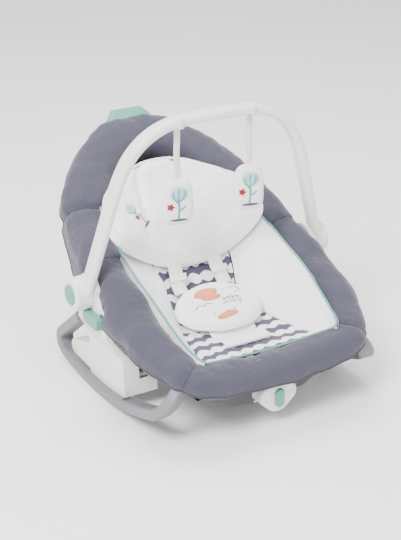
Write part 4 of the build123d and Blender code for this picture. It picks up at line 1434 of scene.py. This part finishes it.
@dataclass
class Harness:
    """The round harness pad, its crotch piece, the shoulder straps and the waist straps."""

    pad_wide: float = 86.0
    pad_long: float = 65.0
    pad_tilt: float = math.radians(15)
    pad_middle: Point = (0, -69, 146)
    pad_crown: float = 0.0012
    crotch_width: float = 92
    strap_width: float = 27.0
    tape_width: float = 16
    belt_width: float = 24

    def on_pad(self, a: float, b: float, height: float) -> Vector:
        """Return the drawing point at a across and b along the pad, at a height over its middle.

        Args:
            a: Millimetres across.
            b: Millimetres along.
            height: Millimetres above the pad's middle plane.

        Returns:
            The drawing point.
        """
        along = Vector((0, math.cos(self.pad_tilt), math.sin(self.pad_tilt)))
        out = Vector((0, -math.sin(self.pad_tilt), math.cos(self.pad_tilt)))
        return Vector(self.pad_middle) + Vector((a, 0, 0)) + along * b + out * height

    def ring(self, grow: float) -> list[tuple[float, float]]:
        """Return the pad's oval."""
        return [((self.pad_wide + grow) * math.cos(t), (self.pad_long + grow) * math.sin(t))
                for t in np.linspace(0, 2 * math.pi, 84, endpoint=False)]

    def draw(self, pad: bpy.types.Object) -> None:
        """Lay the plain printed shapes on the pad: ovals, a row of twigs, dots and waves.

        Args:
            pad: The finished pad.
        """
        art = Drawing(pad, self.on_pad(0, 4, 0), Vector((1, 0, 0)),
                      Vector((0, math.cos(self.pad_tilt), math.sin(self.pad_tilt))))
        art.blob("peach", -16, 24, 24, 13, 0.1)
        art.blob("peach", -12, 10, 20, 8, 0.0)
        art.blob("peach", -6, -42, 22, 7, 0.1)
        for k, (a, b) in enumerate(((8, -4), (17, -2), (26, -4), (35, -3))):
            art.stroke("teal", [(a, b - 7), (a + 1, b), (a, b + 7 - k % 2 * 3)], 1.8)
            art.stroke("teal", [(a - 4, b + 3), (a, b - 1), (a + 4, b + 3)], 1.5)
        art.stroke("teal", [(-2, -14), (18, -13), (42, -14)], 1.6)
        for k in range(14):
            turn = 2.4 * k
            art.blob("plum" if k % 3 else "peach", 47 * math.cos(turn) - 6, 33 * math.sin(turn) - 2, 1.5, 1.5)
        art.stroke("plum", [(-52, -8), (-44, -3), (-36, -8), (-28, -3), (-20, -8)], 1.1)
        art.stroke("plum", [(36, 24), (46, 28), (52, 18), (44, 12)], 1.1)
        art.make("harness_art", Body.BASE)

    def build_pad(self) -> None:
        """Make the padded oval, its piped edge and its plain printed shapes."""
        pad = pillow_mesh(
            "harness_pad_oval", self.ring(-1.5),
            lambda a, b, share: self.on_pad(a, b, 2.5 + 8.5 * (1 - share**3) ** 0.6 - self.pad_crown * a * a),
            lambda a, b, share: self.on_pad(a, b, -5 - 2 * (1 - share**2) - self.pad_crown * a * a),
            "white", 12)
        puff(pad, 2.5, 3.0, 0.004)
        ripple(pad, 1.2, (30, 30, 30), 50.0)
        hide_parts("harness_pad")
        self.draw(pad)
        line = hug([spot(*self.on_pad(a, b, -1.5 - self.pad_crown * a * a)) for a, b in self.ring(-1)], pad)
        rim = EDGING.run("harness_pad_edge", line, 2.2, "white", "white", True)
        carry(pad, Body.BASE)
        carry(rim, Body.BASE)

    def build_crotch(self) -> None:
        """Make the cloth that runs from under the pad down to the seat."""
        line = [self.on_pad(0, -10, -10), self.on_pad(0, -44, -12), self.on_pad(0, -70, -17),
                Vector((0, -152, 122)), Vector((0, -178, 123))]
        piece = strip("crotch_cloth", line, [Vector((1, 0, 0))] * len(line), self.crotch_width, 6, "white")
        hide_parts("crotch_strap")
        subdivide(piece)
        carry(piece, Body.BASE)

    def build_straps(self, name: str, side: int) -> None:
        """Make one shoulder strap with its padded sleeve, slide and waist strap.

        Args:
            name: left or right.
            side: -1 or 1.
        """
        stops = [(40, 92, -8), (41, 66, -6), (42, 44, -8), (43, 20, -15), (46, 0, -20), (46, -20, -20)]
        line = [on_back(side * x, s, off) for x, s, off in stops]
        sleeve = strip(f"shoulder_sleeve_{name}", line, [Vector((1, 0, 0.04 * side))] * len(line),
                       self.strap_width, 10, "strap")
        subdivide(sleeve)
        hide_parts(f"shoulder_pad_{name}")
        slide_stops = [(43, 17, -9.5), (44, 11, -11), (44, 5, -12.5)]
        slide = strip(f"strap_slide_{name}", [on_back(side * x, s, off) for x, s, off in slide_stops],
                      [Vector((1, 0, 0))] * 3, 34, 5, "shell")
        tape_line = [on_back(side * x, s, off + 6.0) for x, s, off in stops[2:]]
        tape = strip(f"shoulder_tape_{name}", tape_line, [Vector((1, 0, 0))] * len(tape_line),
                     self.tape_width, 1.6, "tape")
        for piece, slot in ((sleeve, "white_fabric"), (slide, "white_plastic"), (tape, "webbing")):
            across_hip(piece)
        waist = [Vector((side * x, y, z))
                 for x, y, z in ((22, -84, 118), (60, -80, 119), (96, -72, 124), (128, -62, 152))]
        belt = strip(f"waist_tape_{name}", waist, [Vector((0, 1, 0.1))] * len(waist), self.belt_width, 2,
                     "tape")
        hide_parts(f"waist_strap_{name}")
        carry(belt, Body.BASE)

    def build(self) -> None:
        """Make the whole harness."""
        self.build_pad()
        self.build_crotch()
        for name, side in SIDES.items():
            self.build_straps(name, side)


# ---------------------------------------------------------------- toys


@dataclass
class Toys:
    """The two hanging pads with their tapes."""

    x: float = 73.0
    wide: float = 30.0
    tall: float = 43.5
    thick: float = 8.0
    edge_half: float = 0.8
    corner_power: float = 0.62
    turn: float = math.radians(-14)
    tape_width: float = 11
    loop_width: float = 13
    loop_steps: int = 12
    loop_power: float = 0.6
    bar_half: float = 8.5
    loop_half_deep: float = 16.6
    loop_half_high: float = 10.0

    def ring(self) -> list[tuple[float, float]]:
        """Return the soft, slightly pinched outline of a toy."""
        found = []
        for t in np.linspace(0, 2 * math.pi, 72, endpoint=False):
            a = square_off(math.cos(t), self.corner_power) * self.wide
            b = square_off(math.sin(t), self.corner_power) * self.tall
            found.append((a * (1 - 0.05 * math.cos(2 * t)) * (1 - 0.1 * (b / self.tall)), b))
        return found

    def right(self) -> Vector:
        """Return the direction across a toy's face."""
        return Vector((math.cos(self.turn), math.sin(self.turn), 0))

    def build_toy(self, name: str, side: int) -> None:
        """Make one toy's pad with its sprig and its edge.

        Args:
            name: left or right.
            side: -1 or 1.
        """
        low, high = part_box(f"toy_{name}")
        middle = ((low + high) / 2 - ZERO) / MILLI

        def place(a: float, b: float, depth: float) -> Vector:
            """Return the drawing point of a place on the toy, at a depth from its middle plane."""
            return middle + Vector((a * math.cos(self.turn) + depth * math.sin(self.turn),
                                    a * math.sin(self.turn) - depth * math.cos(self.turn), b))

        def skin(way: int) -> Skin:
            """Return the front skin for 1 and the back skin for -1."""
            return lambda a, b, share: place(
                a, b, way * (self.thick * (1 - share**2.6) ** 0.6 + self.edge_half))

        pad = pillow_mesh(f"hanging_toy_{name}", self.ring(), skin(1), skin(-1), "white", 10)
        puff(pad, 1.5, 2.0, 0.003)
        ripple(pad, 1.0, (40, 40, 40), 60.0 + side)
        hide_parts(f"toy_{name}")
        art = Drawing(pad, place(0, -1, 0), self.right(), Vector((0, 0, 1)))
        art.sprig(66, 0.0, -0.34)
        art.make(f"toy_sprig_{name}", f"toy_{name}")
        line = hug([spot(*place(a, b, 0)) for a, b in self.ring()], pad)
        rim = EDGING.run(f"toy_edge_{name}", line, 1.1, "white", "white", True)
        for piece in (pad, rim):
            carry(piece, f"toy_{name}")

    def build_tape(self, name: str, side: int) -> None:
        """Make one toy's tape and the loop that holds it on the bar.

        Args:
            name: left or right.
            side: -1 or 1.
        """
        low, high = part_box(f"toy_strap_{name}")
        foot, head = (low - ZERO) / MILLI, (high - ZERO) / MILLI
        back = (foot.y + head.y) / 2
        bows = ((0, foot.z - 4), (1.2, foot.z + 18), (-0.8, foot.z + 45), (0.6, head.z - 18), (0, head.z))
        line = [Vector((side * self.x + bow, back + bow * 0.4, z)) for bow, z in bows]
        tape = strip(f"toy_tape_{name}", line, [self.right()] * len(line), self.tape_width, 2.2, "tape")
        loop_line = []
        for step in range(self.loop_steps + 1):
            angle = -math.pi / 2 + 2 * math.pi * step / self.loop_steps
            deep = square_off(math.cos(angle), self.loop_power) * self.loop_half_deep
            tall = square_off(math.sin(angle), self.loop_power) * self.loop_half_high
            loop_line.append(Vector((side * self.x, back + deep, head.z + self.bar_half + tall)))
        across = [Vector((1, 0, 0))] * len(loop_line)
        loop = strip(f"bar_loop_{name}", loop_line, across, self.loop_width, 1.6, "tape")
        carry(loop, Body.BAR)
        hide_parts(f"toy_strap_{name}")
        carry(tape, f"toy_{name}")

    def build(self) -> None:
        """Make both toys."""
        for name, side in SIDES.items():
            self.build_toy(name, side)
            self.build_tape(name, side)


# ---------------------------------------------------------------- hard parts


@dataclass
class HardParts:
    """The moulded and metal pieces, which keep their own shape and get a finish."""

    finish_of: dict[str, str] = field(default_factory=lambda: {
        "rocker_rail": "rail", "side_post": "shell", "toy_bar": "shell", "hub_button": "mint",
        "release_latch": "mint", "recline_handle": "mint", "handle_collar": "dark", "unit_front": "shell",
        "unit_back": "shell", "vibration_switch": "mint", "battery_door": "shell", "battery_cells": "cell",
        "motor": "zinc", "rail_screws": "zinc", "post_screws": "zinc", "unit_screws": "zinc",
        "hinge_pins": "zinc", "lock_bolt": "zinc", "seat_tube": "steel", "back_tube": "steel",
        "cross_tube": "steel", "seat_bracket": "steel", "hinge_plate": "steel", "unit_bracket": "steel",
        "pull_cables": "steel", "buckle_body": "dark", "buckle_button": "mint", "seat_board": "board",
        "back_board": "board",
    })

    def build(self) -> None:
        """Give each CAD piece its finish."""
        for name, node in frame["nodes"].items():
            finish = next((f for start, f in self.finish_of.items() if name.startswith(start)), None)
            if finish is None:
                continue
            node.data.materials.clear()
            node.data.materials.append(FINISH.get(finish))
            LOG.info("%s: %s", name, finish)


# ---------------------------------------------------------------- studio


@dataclass(frozen=True)
class Lamp:
    """A square soft light: its place and side in metres, and its power in watts."""

    name: str
    place: Point
    size: float
    power: float


@dataclass
class Studio:
    """The pale floor, the soft lights and the camera."""

    camera_place: Point = (-1.0826, -1.8937, 1.1996)
    camera_aim: Point = (0, -0.0186, 0.190)
    lens: float = 86.0
    lamp_aim: Point = (0, 0, 0.2)
    room_light: float = 1.1
    floor_half: float = 9
    floor_colour: tuple[float, float, float, float] = (0.93, 0.93, 0.93, 1)
    lamps: tuple[Lamp, ...] = (
        Lamp("key", (-1.9, -1.2, 2.5), 1.1, 185),
        Lamp("fill", (2.2, -1.2, 1.6), 2.0, 26),
        Lamp("top", (0.2, 0.8, 2.8), 1.6, 75),
    )

    def aim(self, item: bpy.types.Object, place: Point, at: Point) -> None:
        """Put a camera or light at a place, turn it to a point and link it.

        Args:
            item: The camera or light.
            place: Its place in metres.
            at: The point that it looks at.
        """
        item.location = place
        item.rotation_euler = (Vector(at) - Vector(place)).to_track_quat("-Z", "Y").to_euler()
        bpy.context.scene.collection.objects.link(item)

    def add_lamp(self, lamp: Lamp) -> None:
        """Add one light."""
        data = bpy.data.lights.new(lamp.name, "AREA")
        data.size = lamp.size
        data.energy = lamp.power
        self.aim(bpy.data.objects.new(lamp.name, data), lamp.place, self.lamp_aim)

    def add_floor(self) -> None:
        """Add the floor."""
        half = self.floor_half
        mesh = bpy.data.meshes.new("floor")
        mesh.from_pydata([(-half, -half, 0), (half, -half, 0), (half, half, 0), (-half, half, 0)], [],
                         [(0, 1, 2, 3)])
        floor = bpy.data.objects.new("floor", mesh)
        mesh.materials.append(Pen("pale_floor").finish(self.floor_colour, None, Roughness=0.6))
        bpy.context.scene.collection.objects.link(floor)

    def build(self) -> None:
        """Make the studio."""
        data = bpy.data.cameras.new("camera")
        data.lens = self.lens
        camera = bpy.data.objects.new("camera", data)
        self.aim(camera, self.camera_place, self.camera_aim)
        bpy.context.scene.camera = camera
        self.add_floor()
        world = bpy.data.worlds.new("white_room")
        world.use_nodes = True
        sky = world.node_tree.nodes["Background"]
        sky.inputs["Color"].default_value = (1, 1, 1, 1)
        sky.inputs["Strength"].default_value = self.room_light
        bpy.context.scene.world = world
        for lamp in self.lamps:
            self.add_lamp(lamp)


def main() -> None:
    """Build every sub-assembly in order and report it."""
    logging.basicConfig(level=logging.INFO, format="%(name)s %(message)s")
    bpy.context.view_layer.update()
    Studio().build()
    HardParts().build()
    Cover().build()
    Insert().build()
    Pillow().build()
    Harness().build()
    Toys().build()


if __name__ == "__main__":
    main()
